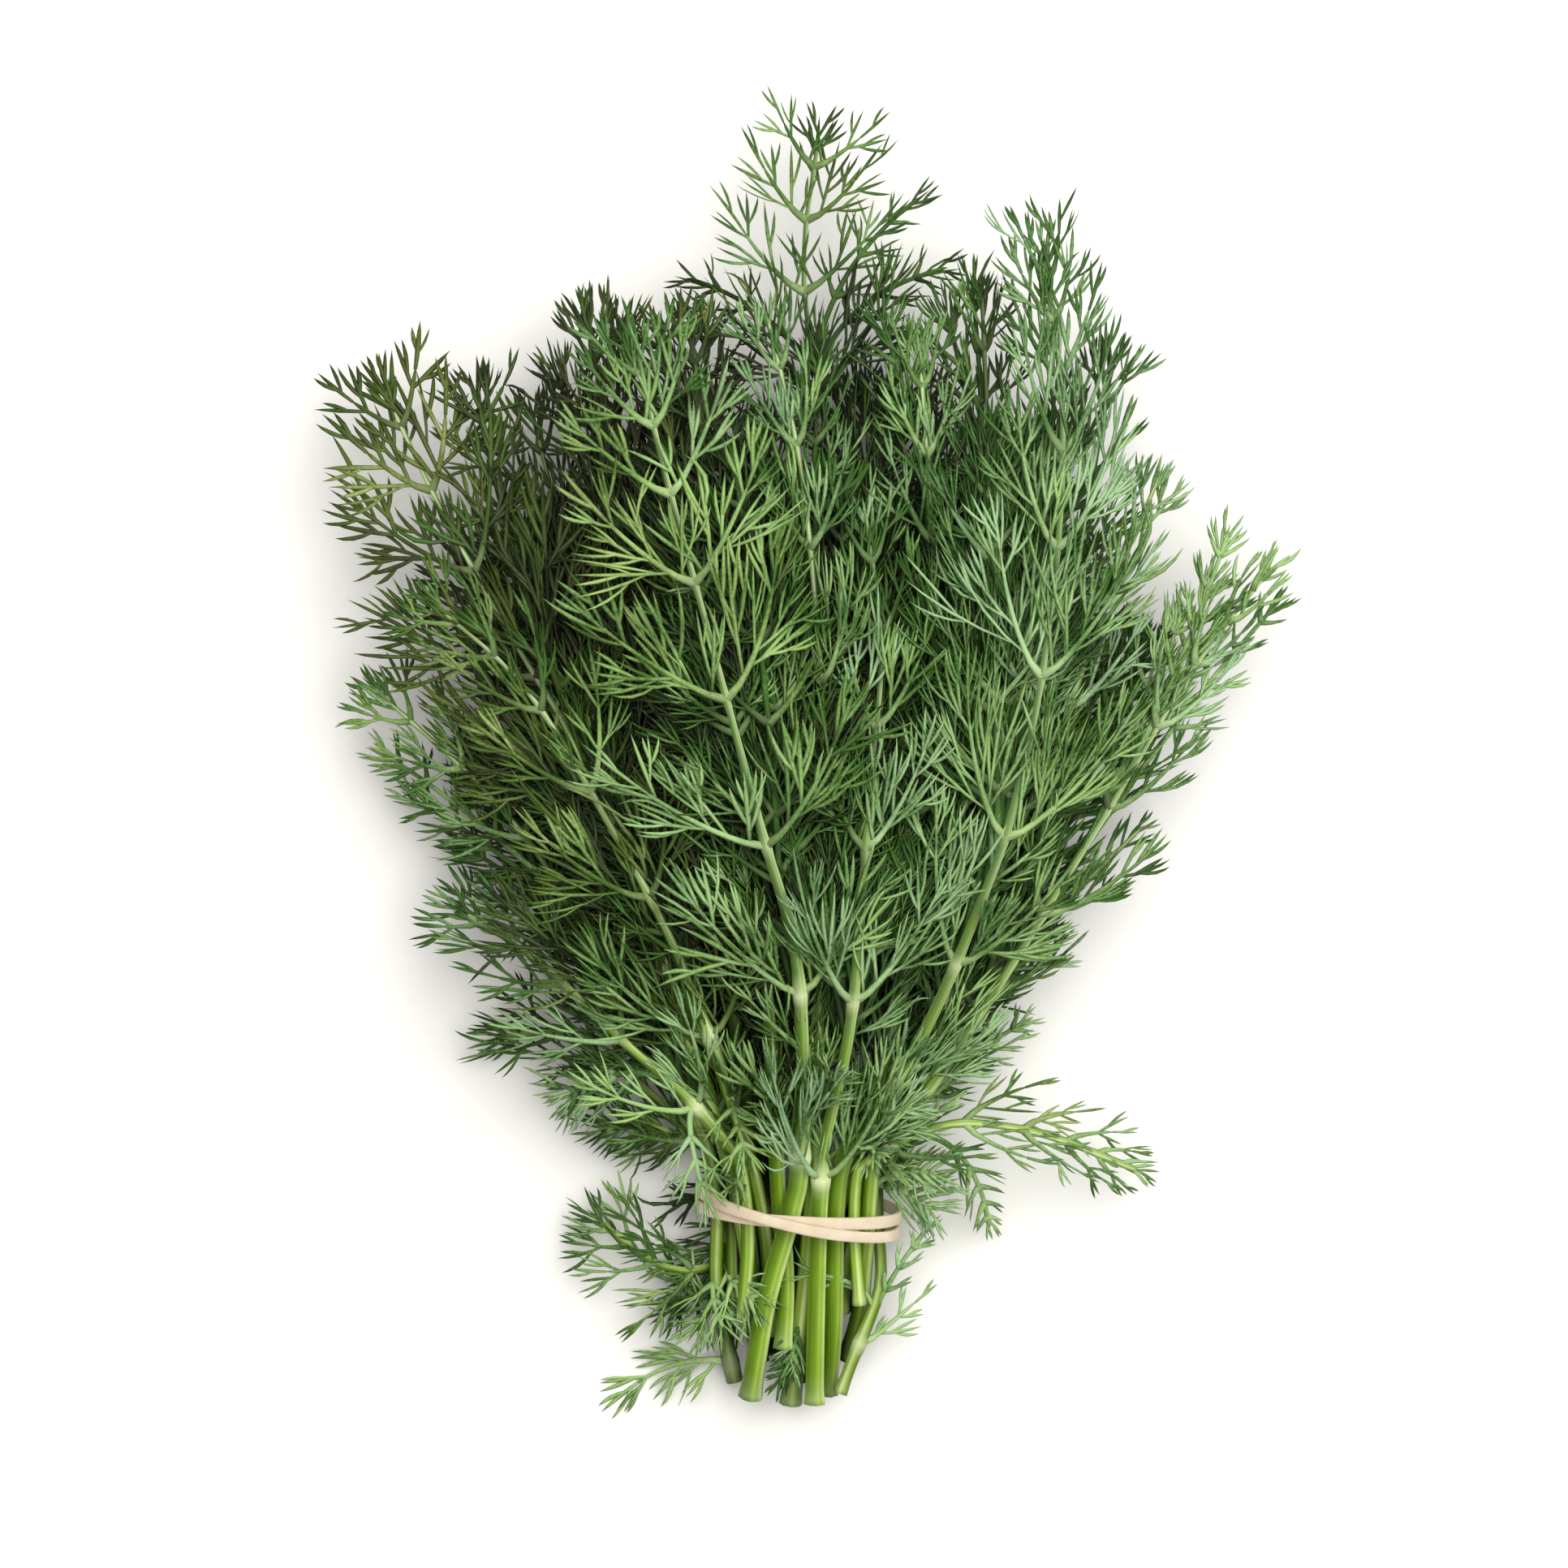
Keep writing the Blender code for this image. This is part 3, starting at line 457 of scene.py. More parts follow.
class Room:
    """The space that is taken, as straight rods. Each has a radius and an owner."""

    def __init__(self):
        self.rods, self.radii, self.owners = np.zeros((0, 2, 3)), np.zeros(0), []

    def take(self, path, radius, owner):
        path = np.array(path)
        rods = np.stack([path[:-1], path[1:]], axis=1)
        self.rods = np.concatenate([self.rods, rods])
        self.radii = np.concatenate([self.radii, np.resize(radius, len(rods))])
        self.owners += [owner] * len(rods)

    def free(self, path, radius, ignore):
        """True if a path keeps LEAST_GAP from every rod whose owner isn't ignored."""
        path = np.array(path)
        reach = radius + self.radii + LEAST_GAP
        low, high = path.min(axis=0), path.max(axis=0)
        near = ((self.rods.max(axis=1) + reach[:, None] > low).all(axis=1)
                & (self.rods.min(axis=1) - reach[:, None] < high).all(axis=1))
        near = [i for i in np.flatnonzero(near) if self.owners[i] not in ignore]
        if not near:
            return True
        gaps = rod_gaps(np.stack([path[:-1], path[1:]], axis=1), self.rods[near])
        return bool((gaps > reach[near]).all())


def rod_gaps(first, second):
    """The distance between each rod of one set and each of another."""
    p, d1 = first[:, None, 0], first[:, None, 1] - first[:, None, 0]
    q, d2 = second[None, :, 0], second[None, :, 1] - second[None, :, 0]
    r = p - q
    a, e, b = (d1 * d1).sum(-1), (d2 * d2).sum(-1), (d1 * d2).sum(-1)
    c, f = (d1 * r).sum(-1), (d2 * r).sum(-1)
    s = np.clip((b * f - c * e) / np.maximum(a * e - b * b, 1e-9), 0, 1)
    t = np.clip((b * s + f) / e, 0, 1)
    s = np.clip((b * t - c) / a, 0, 1)
    return np.linalg.norm(r + d1 * s[..., None] - d2 * t[..., None], axis=-1)


def on_table(path, radius):
    """The path with each point that would be under the table laid on it."""
    path = np.array(path)
    path[..., 2] = np.maximum(path[..., 2], NEEDLE_LYING * radius)
    return path


def branch_curve(start, along, side, length, leaving, ending):
    """A side branch that leaves the midrib at one angle and bends forward to another."""
    share = (np.arange(BRANCH_STEPS) + 0.5) / BRANCH_STEPS
    angle = np.radians(leaving + (ending - leaving) * share**BRANCH_BOW)[:, None]
    steps = (np.cos(angle) * along + np.sin(angle) * side) * length / BRANCH_STEPS
    return on_table(np.vstack([start, start + np.cumsum(steps, axis=0)]), NEEDLE_RADIUS)


def branch_plan(room, leaf, start, along, side, up, radius, length, leaving, ending, key):
    """A side branch, in the first turn about the midrib at which it is clear, or None."""
    rng = np.random.default_rng([SEED, *key])
    lean, stray = rng.normal(0, BRANCH_STRAYS)
    ending += stray
    owner = (leaf, *key)
    for shrink in BRANCH_SHRINKS:
        for turn in BRANCH_TURNS:
            outward = turned(side, along, lean + turn)
            root = start + outward * radius * BRANCH_ROOT
            curve = branch_curve(root, along, outward, length * shrink, leaving, ending)
            if room.free(curve[2:], BRANCH_RADIUS, (leaf, owner)):
                room.take(curve[1::5], BRANCH_RADIUS, owner)
                above = turned(up, along, lean + turn)
                return {"curve": curve, "up": above, "owner": owner, "rng": rng,
                        "length": length * shrink, "start": start, "lead": along}
    return None


def twig_plan(room, branch, share, hand, forks):
    """A twig of a side branch, in the first turn at which it and its needles are clear."""
    curve, rng = branch["curve"], branch["rng"]
    place = share * length_of(curve)
    base, ahead = at(curve, place), at(curve, place + 1)
    along = unit(ahead - base)
    across = unit(np.cross(along, branch["up"])) * hand
    roll, stray = rng.normal(0, TWIG_STRAYS)
    size = np.clip(branch["length"] * (0.52 - 0.3 * share), *TWIG_SIZES)
    size *= rng.uniform(*TWIG_VARIES)
    for shrink in TWIG_SHRINKS:
        for turn in TWIG_TURNS:
            side = turned(across, along, (roll + turn) * hand)
            over = np.cross(side, along)
            out = turned(along, over, -(TWIG_SPREAD + stray))
            root = base + TWIG_FOOT[0] * side + NEEDLE_ROOT * out
            forward = turned(out, over, TWIG_BEND)
            end = root + (size * shrink - NEEDLE_ROOT) * forward
            tips = [root + NEEDLE_LENGTH * size * shrink * turned(forward, over, -NEEDLE_SPREAD * s)
                    for s in (1, -1)[:forks]]
            if min(root[2], end[2] + 1) < -0.5:
                continue
            path = on_table([base + TWIG_FOOT[1] * side, root, end], NEEDLE_RADIUS)
            tips = [on_table(tip, NEEDLE_RADIUS) for tip in tips]
            rods = [path] + [np.array([path[1], tip]) for tip in tips]
            if all(room.free(rod, NEEDLE_RADIUS, (branch["owner"],)) for rod in rods):
                for rod in rods:
                    room.take(rod, NEEDLE_RADIUS, branch["owner"])
                return {"share": share, "hand": hand, "base": base, "end": path[2],
                        "over": over}
    return None


def leaf_plan(room, number, row, spine):
    """Every side branch of a leafy stem that finds room, with its place up the stem."""
    name, _, radius, bare, pairs, reach, roll, spread = row[:8]
    length = length_of(spine)
    plan = []
    places = bare + (length - bare) * (1 - NODE_RATIO ** np.arange(pairs)) / (
        1 - NODE_RATIO**pairs)
    spots = [(p, hand, k) for k, p in enumerate(places) for hand in (-1, 1)]
    spots += [(low[1], low[2], LOW_KEY + k) for k, low in enumerate(LOW_BRANCHES)
              if low[0] == name]
    for place, hand, k in spots:
        along, up = stance(spine, place, roll)
        side = np.cross(along, up) * hand
        share = max(0.0, (place - bare) / (length - bare))
        girth = stem_radius(radius, bare, length, place)
        if k < LOW_KEY:
            longest = reach * (1 - BRANCH_TAPER * share**2)
            leaving, ending = spread - BRANCH_CLOSING * share, spread - BRANCH_BEND
        else:
            longest, leaving, ending = LOW_BRANCHES[k - LOW_KEY][3:]
        branch = branch_plan(room, name, at(spine, place), along, side, up, girth, longest,
                             leaving, ending, (number, k, hand + 1))
        if branch:
            if k >= LOW_KEY:
                branch["lead"] = unit(branch["curve"][-1] - branch["curve"][-4])
                branch["full"] = LOW_FULLNESS if place < 20 else 1.0
            plan.append((place, branch))
    return plan


def twigs_of(room, branch):
    """The twigs of a side branch that the solids have, as many as its length bears."""
    size = branch["length"]
    shares = (0.27, 0.58) if size > 23 else (0.42,)
    found = [twig_plan(room, branch, share, hand, 2 if size > 30 else 1)
             for share in shares for hand in (-1, 1)]
    return [twig for twig in found if twig]


# The finer parts of a leaf, which the solids leave out. The first group is the ribbed stalk with
# its nodes and cut end. A SWELL, FLARE or PALENESS is how much, and how far it reaches.
STALK_SIDES = 16
STALK_STEP = 3.0
CUT_RINGS = (1.0, 2.0)
NODE_RINGS = np.array((-2.4, -1.2, 0, 1.2, 2.4))
LEAST_RING_GAP = 0.7
RIB_DEPTH = 0.07
RIB_TURN = (115.0, 45.0)
MIDRIB_SLIMMING = (0.36, 80, 60)
NODE_SWELL = (0.26, 1.9)
CUT_FLARE = (0.16, 2.0)
NODE_PALENESS = (0.85, 1.9)
CUT_PALENESS = (0.22, 3)
# STREAK_LIGHT sets the stalk's ridge colour, which carries a painted highlight: its middle, how much
# the ribs add, and how much two painted highlight bands down the stem's sides add.
STREAK_LIGHT = (0.52, 0.2, 0.36)
AGEING = (28, 90)
# STALK_LIGHT is the stalk's tone before painted light and shade, and UNDER_SHADE is the painted
# shade on stems that lie low near the cut end.
STALK_LIGHT = 0.85
UNDER_SHADE = 0.8

# The side branches, with the twigs along them, the ones that cross the midrib and those at the
# leaf's tip. A SPREAD is an angle and how far it strays, and a ROLL is how far a twig tips over.
BRANCH_SIDES = 5
BRANCH_WIDTH = 0.66
BRANCH_LIFT = 0.03
SHEATH_SWELL = (0.45, 2.2)
ROOT_PALENESS = (0.34, 3.5)
SKIN_PALENESS = 0.05
LEAST_BRANCH = 11.0
TWIG_SPACING = 6.6
TWIG_START = 0.16
TWIG_STRETCH = 0.62
TWIG_GAPS = 0.06
FINE_ROLL = 17
FINE_SPREAD = (32, 6)
FINE_CLOSING = 24
FINE_SIZES = (8, 23)
FINE_VARIES = (0.78, 1.18)
OUTER_STRETCH = 0.2
SPRAY_START = 0.63
END_SWEEP = 0.6
CROSSING_SHARE = 0.75
CROSSING_PLACES = (0.05, 0.16)
CROSSING_LENGTHS = (0.4, 0.58)
TIP_SPACING = 4.5
TIP_SPREAD = (38, 16, 5)
TIP_SIZES = (7, 14)
TIP_END = 10.5

# The shoots low on a stem, the small leaves that hang out, and the leaves under the main one.
# LEAVING and ENDING are the angles of a side branch, with how far each strays.
SHOOTS = 5
SHOOT_PLACES = (38, 74)
LOWEST_SHOOT = -77
SHOOT_ROLL = 40
SHOOT_LENGTHS = (13, 23)
SHOOT_LEAVING = (48, 8)
SHOOT_ENDING = (20, 8)
SMALL_RIB = (0.8, 0.4)
SMALL_RIB_POINTS = 24
SMALL_ROLL = 20
SMALL_PAIRS = (0.16, 0.36, 0.54, 0.7, 0.84)
SMALL_TAPER = 0.55
SMALL_VARIES = (0.85, 1.1)
SMALL_LEAVING = (56, 5)
SMALL_ENDING = (26, 5)
SMALL_TIP = 0.88
SHORT_RIB = 1.25
UNDER_PLACES = (0.34, 0.5)
UNDER_LENGTHS = (0.62, 0.8)
UNDER_ASIDE = ((6, 15), (-4, 2))
UNDER_DROPS = ((7, 13), (4, 9))
UNDER_CLEARANCE = 4.0
UNDER_REACH = (0.72, 0.6)
# UNDER_LEAF_SHADE is painted shade: how much darker the leaves under the main one are drawn.
UNDER_LEAF_SHADE = 0.15
OUTER_STEM = 25

# The threads: their outline from root to tip, how they lie, where they fork and how they stray
THREAD_THICKNESS = 0.5
THREAD_RINGS = {4: np.array((0.0, 0.25, 0.52, 0.78)), 3: np.array((0.0, 0.34, 0.7))}
THREAD_OUTLINE = ((0.0, 0.25, 0.45, 0.7, 0.85, 1.0), (0.62, 0.8, 1.0, 0.78, 0.5, 0.0))
THREAD_CLEARANCE = 0.4
THREAD_ROLL = 0.35
THREAD_WAVER = (0.1, 0.08)
THREAD_SWEEPS = (0.6, 1.4)
THREAD_WIDTHS = (0.86, 1.12)
LEAST_THREAD = 5.0
PAIRED_SPRAY = 8
LONG_SPRAY = 14
FORK_PLACES = (0.2, 0.46)
FORK_STAGGER = (0.05, 0.03)
FORK_SHARE = 0.84
FORK_LENGTHS = (0.8, 1.1)
FORK_WIDTHS = (0.84, 1.0)
FORK_SPREAD = (27.0, 6.0)
FORK_LIFT = 0.22
SWEPT_CLOSING = 0.32
LEAST_FORKED = 9.0
SECOND_FORKS = (0.32, 0.46)
STRAY_SHARE = 0.05
STRAY_BEND = 0.6
STRAY_STRETCH = 1.5

# How far the tone and the bloom of each branch, twig and thread stray from its leaf's
BRANCH_TONES = 0.1
BRANCH_MIX = 0.22
TWIG_TONES = 0.13
TIP_TONES = 0.12
THREAD_MIX = 0.1
THREAD_TONES = 0.07

# How painted light and shade fall over the bunch: by how much, from which place on, and over
# what span. Painted shade darkens its top, and painted light lightens it by the band and at right.
# The canopy is a grid of the leaves' upper surface, and painted shade darkens what lies deep under
# it, less so at right.
TOP_SHADE = (0.2, 45, 50)
BAND_LIGHT = (0.28, 40, 25)
RIGHT_LIGHT = (0.16, 8, 20)
RIGHT_LIGHT_END = (-80, 30)
INNER_SHADE = (0.66, 9)
INNER_LIGHT = (0.4, 10, 25)
CANOPY_CELL = 4.0
CANOPY_CELLS = 75
CANOPY_CORNER = 150
HEIGHT_LIMIT = 57.0
HEIGHT_EASE = 3


def swung(first, second, angle):
    """Two directions at a right angle, both turned in their own plane."""
    cos, sin = math.cos(angle), math.sin(angle)
    return cos * first + sin * second, cos * second - sin * first


def fading(distance, reach):
    """1 at a place, fading to 0 over a reach on each side of it."""
    return np.exp(-((distance / reach) ** 2))


def thread(leaf, start, heading, bend, over, length, half, tone):
    """Adds a thread that sets out in one direction and bends toward another."""
    end = start + length * 0.5 * (heading + bend)
    end[2] = max(end[2], THREAD_CLEARANCE)
    leaf["threads"].append((*start, *(start + heading * length * 0.5), *end, *over, half, tone,
                            leaf["bloom"]))


def fork(leaf, parent, share, hand, more, rng):
    """A thread that leaves another's side, then bends to run beside it. It may fork again."""
    start, heading, bend, across, over, length, half, tone = parent
    root = start + length * share * ((1 - 0.5 * share) * heading + 0.5 * share * bend)
    root[2] = max(root[2], THREAD_CLEARANCE)
    way = (1 - share) * heading + share * bend
    spread = math.radians(rng.normal(*FORK_SPREAD)) * (1 - SWEPT_CLOSING * leaf["sweep"])
    aside = hand * across + rng.normal(0, FORK_LIFT) * over
    away = unit(swung(way, aside, spread)[0])
    spread *= rng.uniform(0.0, 0.5)
    turn = unit(swung(bend, aside, spread)[0])
    long = length * (1 - share) * rng.uniform(*FORK_LENGTHS)
    long = max(min(LEAST_THREAD, 0.7 * length), long)
    if rng.random() < STRAY_SHARE:
        turn = unit(turn + rng.normal(0, STRAY_BEND) * across + 0.2 * over)
        long *= STRAY_STRETCH
    slim = half * rng.uniform(*FORK_WIDTHS)
    facing = unit(over + rng.normal(0, THREAD_ROLL) * across)
    thread(leaf, root, away, turn, facing, long, slim, tone + rng.normal(0, THREAD_TONES))
    if more and long > LEAST_FORKED:
        beside = unit(across - (across @ away) * away)
        for where, side in zip(SECOND_FORKS, (hand, -hand)):
            if rng.random() < 0.5:
                fork(leaf, (root, away, turn, beside, over, long, slim, tone),
                     where + rng.normal(0, 0.04), side, more - 1, rng)


def spray(leaf, start, ahead, across, over, lead, size, tone, rng):
    """A twig: a main thread with forked threads beside it, which sweep toward the leaf's tip."""
    size *= leaf["full"]
    leaf = {**leaf, "bloom": leaf["bloom"] + rng.normal(0, THREAD_MIX)}
    sweep = leaf["sweep"] * rng.uniform(*THREAD_SWEEPS) * lead
    aside, above = rng.normal(0, THREAD_WAVER)
    bend = unit(ahead + sweep + aside * across + above * over)
    half = leaf["width"] * rng.uniform(*THREAD_WIDTHS)
    thread(leaf, start, ahead, bend, over, size, half, tone)
    parent = (start, ahead, bend, across, over, size, half, tone)
    stagger, stray = FORK_STAGGER
    for place in FORK_PLACES if size > LONG_SPRAY else (0.3,):
        first = 1 if rng.random() < 0.5 else -1
        for hand in (first, -first) if size > PAIRED_SPRAY else (first,):
            if rng.random() < FORK_SHARE:
                here = place + stagger * hand * first + rng.normal(0, stray)
                fork(leaf, parent, np.clip(here, 0.08, 0.85), hand, 1, rng)


def fine_branch(leaf, branch, twigs, rng):
    """A side branch with all its twigs: those of the solids, and the ones between them."""
    curve, lead = branch["curve"], branch["lead"]
    length = length_of(curve)
    marks = np.linspace(0, (SPRAY_START + 0.05) * length, round(4 + length / 7))
    path = np.vstack([branch["start"], at(curve, marks[1:])])
    stout = BRANCH_WIDTH * min(1.0, 0.55 + length / 50)
    radii = np.interp(marks, [0, marks[-1]], (stout, 0.7 * leaf["width"]))
    radii *= 1 + SHEATH_SWELL[0] * fading(marks, SHEATH_SWELL[1])
    tone = np.clip(leaf["light"] + rng.normal(0, BRANCH_TONES), 0, 1)
    leaf = {**leaf, "bloom": leaf["bloom"] + rng.normal(0, BRANCH_MIX)}
    pale = ROOT_PALENESS[0] * min(1.0, length / 28) * fading(marks, ROOT_PALENESS[1])
    leaf["tubes"].append((path, radii, branch["up"], pale + SKIN_PALENESS, tone, leaf["bloom"]))
    if length < LEAST_BRANCH:
        ahead = unit(curve[4] - curve[0])
        spray(leaf, curve[0], ahead, unit(np.cross(ahead, branch["up"])), branch["up"],
              END_SWEEP * lead, 1.15 * length, tone, rng)
        return
    leaf["full"] *= branch.get("full", 1.0)
    count = max(1, round(length * TWIG_STRETCH / (TWIG_SPACING * max(1, leaf["full"]) ** 2)))
    shares = TWIG_START + TWIG_STRETCH * np.arange(count) / count
    taken = {(twig["share"], twig["hand"]) for twig in twigs}
    spots = [(share, hand, None) for share in shares for hand in (-1, 1)
             if all(hand != h or abs(share - s) > 0.5 * TWIG_STRETCH / count for s, h in taken)]
    spots += [(twig["share"], twig["hand"], twig) for twig in twigs]
    for share, hand, twig in spots:
        shade = np.clip(tone + rng.normal(0, TWIG_TONES), 0, 1)
        if twig:
            ahead = unit(twig["end"] - twig["base"])
            size = np.linalg.norm(twig["end"] - twig["base"])
            over = unit(twig["over"] - ahead * (twig["over"] @ ahead))
            spray(leaf, twig["base"], ahead, np.cross(over, ahead), over, lead, 1.1 * size, shade,
                  rng)
            continue
        if rng.random() < TWIG_GAPS + 1.4 * max(0, 1 - leaf["full"]):
            continue
        share = share + rng.normal(0, 0.012) + 0.02 * hand
        start, along = at(curve, share * length), at(curve, share * length + 1)
        along = unit(along - start)
        flat = unit(np.cross(along, branch["up"])) * hand
        roll = math.radians(rng.normal(0, FINE_ROLL))
        side, over = swung(flat, np.cross(flat, along) * hand, roll)
        spread = rng.normal(*FINE_SPREAD) + 10 * (0.5 - share)
        spread = math.radians(spread + FINE_CLOSING * leaf["sweep"] * min(side @ lead, 0))
        ahead, across = swung(along, side, spread)
        least, most = min(FINE_SIZES[0], 0.8 * length), FINE_SIZES[1]
        size = np.clip(length * (0.72 - 0.45 * share), least, most) * rng.uniform(*FINE_VARIES)
        size *= 1 + OUTER_STRETCH * (side @ lead)
        spray(leaf, start, ahead, across, over, lead, size, shade, rng)
    outward = curve[5] - curve[0]
    outward = unit(outward - (outward @ lead) * lead)
    for share in CROSSING_PLACES if leaf["sweep"] > 0.7 else (0.06,):
        if rng.random() < CROSSING_SHARE:
            ahead = lead - rng.uniform(0.08, 0.4) * outward + rng.uniform(0.14, 0.3) * branch["up"]
            over = unit(branch["up"] - (branch["up"] @ unit(ahead)) * unit(ahead))
            spray(leaf, at(curve, share * length), unit(ahead), unit(np.cross(over, ahead)), over,
                  lead, rng.uniform(*CROSSING_LENGTHS) * length, tone, rng)
    start, along = at(curve, SPRAY_START * length), at(curve, SPRAY_START * length + 1)
    along = unit(along - start)
    flat = unit(np.cross(along, branch["up"]))
    spray(leaf, start, along, flat, np.cross(flat, along), END_SWEEP * lead,
          (1 - SPRAY_START) * length + 2, tone, rng)


def side_shoot(leaf, start, along, side, up, size, leaving, ending, rng):
    """A side branch with no twig of the solids. Its two angles are drawn about a middle."""
    curve = branch_curve(start, along, side, size, rng.normal(*leaving), rng.normal(*ending))
    fine_branch(leaf, {"curve": curve, "up": up, "start": start, "length": size, "lead": along},
                [], rng)


def fine_tip(leaf, spine, first, longest, roll, rng):
    """The crowded twigs at the end of the midrib, past its last pair of side branches."""
    length = length_of(spine)
    count = max(2, round((length - first) / TIP_SPACING)) if longest > LEAST_BRANCH else 1
    widest, closing, stray = TIP_SPREAD
    least, most = TIP_SIZES[0], TIP_SIZES[1] + 3 * leaf["sweep"]
    for k in range(1, count + 1):
        place = first + (length - first) * (k - 0.6) / count
        along, up = stance(spine, place, roll, 1.5)
        flat = np.cross(along, up)
        tone = np.clip(leaf["light"] + rng.normal(0, TIP_TONES), 0, 1)
        for hand in (-1, 1):
            angle = math.radians(rng.normal(widest - closing * k / count, stray))
            side = unit(hand * flat + rng.normal(0, 0.2) * up)
            ahead, across = swung(along, side, angle)
            size = min(np.clip(4 + 0.9 * (length - place), least, most), longest)
            spray(leaf, at(spine, place), ahead, across, up, along, size, tone, rng)
    spray(leaf, at(spine, length - 8), along, flat, up, along, min(TIP_END, longest + 4),
          leaf["light"], rng)


def low_shoots(leaf, spine, bare, roll, rng):
    """Short, thinly leaved shoots from the lower part of the stem, just above the band."""
    lowest, highest = SHOOT_PLACES
    for place in rng.uniform(lowest, min(bare, highest), SHOOTS):
        start = at(spine, place)
        if start[1] < LOWEST_SHOOT:
            continue
        along, up = stance(spine, place, roll + rng.normal(0, SHOOT_ROLL))
        side = unit(np.cross(along, up) * rng.choice((-1, 1)) + rng.uniform(0, 0.7) * up)
        side_shoot({**leaf, "threads": leaf["thin"]}, start, along, side, up,
                   rng.uniform(*SHOOT_LENGTHS), SHOOT_LEAVING, SHOOT_ENDING, rng)


def canopy_cell(place):
    """The cell of the canopy's grid that each point stands in."""
    cell = ((place[:, :2] + CANOPY_CORNER) / CANOPY_CELL).astype(int)
    return tuple(np.clip(cell, 0, CANOPY_CELLS - 1).T)


def canopy_of(leaves, spines):
    """The height of the leaves' upper surface over the table, on a coarse grid."""
    rows = np.concatenate([np.array(leaf["threads"] + leaf["thin"]) for leaf in leaves])
    place = np.concatenate([0.5 * (rows[:, :3] + rows[:, 6:9]), *spines])
    top = np.zeros((CANOPY_CELLS, CANOPY_CELLS))
    np.maximum.at(top, canopy_cell(place), place[:, 2])
    around = [np.roll(np.roll(top, i, axis=0), j, axis=1) for i in (-1, 0, 1) for j in (-1, 0, 1)]
    return np.mean(around, axis=0)


def shaded(tone, place, canopy):
    """A leaf's tone: painted shade deep inside the bunch and at its top, and painted light by the
    band and at right.
    """
    x, y = place[:, :1], place[:, 1:2]
    far = TOP_SHADE[0] * ramp(y, *TOP_SHADE[1:])
    far = far - BAND_LIGHT[0] * ramp(-y, *BAND_LIGHT[1:])
    far -= RIGHT_LIGHT[0] * ramp(x, *RIGHT_LIGHT[1:]) * ramp(-y, *RIGHT_LIGHT_END)
    depth = np.maximum(canopy[canopy_cell(place)] - place[:, 2], 0)[:, None]
    depth = depth * (1 - INNER_LIGHT[0] * ramp(x, *INNER_LIGHT[1:]))
    inner = INNER_SHADE[0] * (1 - np.exp(-depth / INNER_SHADE[1]))
    return np.clip(0.12 + 0.88 * tone - far - inner, 0, 1)


def small_leaf(leaf, rib, reach, roll, tone, rng, pairs=SMALL_PAIRS):
    """A smaller leaf along a midrib of its own, with thin side branches in pairs."""
    long = length_of(rib)
    marks = np.linspace(0, long, SMALL_RIB_POINTS)
    root = min(SMALL_RIB[0], SMALL_RIB[1] + reach / 40)
    leaf["tubes"].append((at(rib, marks), np.interp(marks, [0, long], (root, SMALL_RIB[1])),
                          np.array([0, 0.1, 1.0]), np.full(SMALL_RIB_POINTS, 0.06), tone,
                          leaf["bloom"]))
    inner = {**leaf, "threads": leaf["thin"], "light": tone}
    for share in pairs[::2] if long < SHORT_RIB * reach else pairs:
        for hand in (-1, 1):
            along, above = stance(rib, share * long, roll + rng.normal(0, SMALL_ROLL))
            size = reach * (1 - SMALL_TAPER * share**2) * rng.uniform(*SMALL_VARIES)
            side_shoot(inner, at(rib, share * long), along, np.cross(along, above) * hand, above,
                       size, SMALL_LEAVING, SMALL_ENDING, rng)
    fine_tip(inner, rib, SMALL_TIP * long, reach, roll, rng)


def bowed(start, middle, far):
    """A plain curve from one point to another, drawn toward a third."""
    t = np.linspace(0, 1, 24)[:, None]
    return (1 - t) ** 2 * start + 2 * t * (1 - t) * middle + t**2 * far


def under_leaf(leaf, spine, reach, roll, hand, rng):
    """A smaller leaf from low on the same stem, which runs beside and under the main one, made
    darker by painted shade.
    """
    length = length_of(spine)
    place = length * rng.uniform(*UNDER_PLACES)
    along, up = stance(spine, place, roll)
    flat = np.cross(along, up) * hand
    inward = flat[0] * (BAND_CENTRE[0] - spine[-1][0]) > 0
    long = (length - place) * rng.uniform(*UNDER_LENGTHS)
    roomy = inward or abs(spine[-1][0]) < OUTER_STEM
    aside = rng.uniform(*UNDER_ASIDE[0 if roomy else 1])
    far = at(spine, place + long) + flat * aside
    far[2] = max(UNDER_CLEARANCE, far[2] - rng.uniform(*UNDER_DROPS[0]))
    middle = at(spine, place + 0.45 * long) + flat * aside * 0.7
    middle[2] = max(UNDER_CLEARANCE, middle[2] - rng.uniform(*UNDER_DROPS[1]))
    small_leaf(leaf, bowed(at(spine, place), middle, far), reach * UNDER_REACH[0 if inward else 1],
               roll, leaf["light"] - UNDER_LEAF_SHADE, rng)


def ring_axes(along, over):
    """The directions across a tube and above it, at each point that it runs through."""
    along = along / np.linalg.norm(along, axis=-1, keepdims=True)
    side = np.cross(over, along)
    side = side / np.linalg.norm(side, axis=-1, keepdims=True)
    return side, np.cross(along, side)


def ring_faces(count, sides):
    """The faces of a tube whose rings end in one last point: its sides, its tip and its foot."""
    index = np.arange(count - 1).reshape(-1, sides)
    beside = np.roll(index, -1, axis=1)
    quads = np.stack([index[:-1], beside[:-1], beside[1:], index[1:]], axis=-1)
    tips = np.stack([index[-1], beside[-1], np.full(sides, count - 1)], axis=-1)
    return quads.reshape(-1, 4), tips, index[0][::-1]


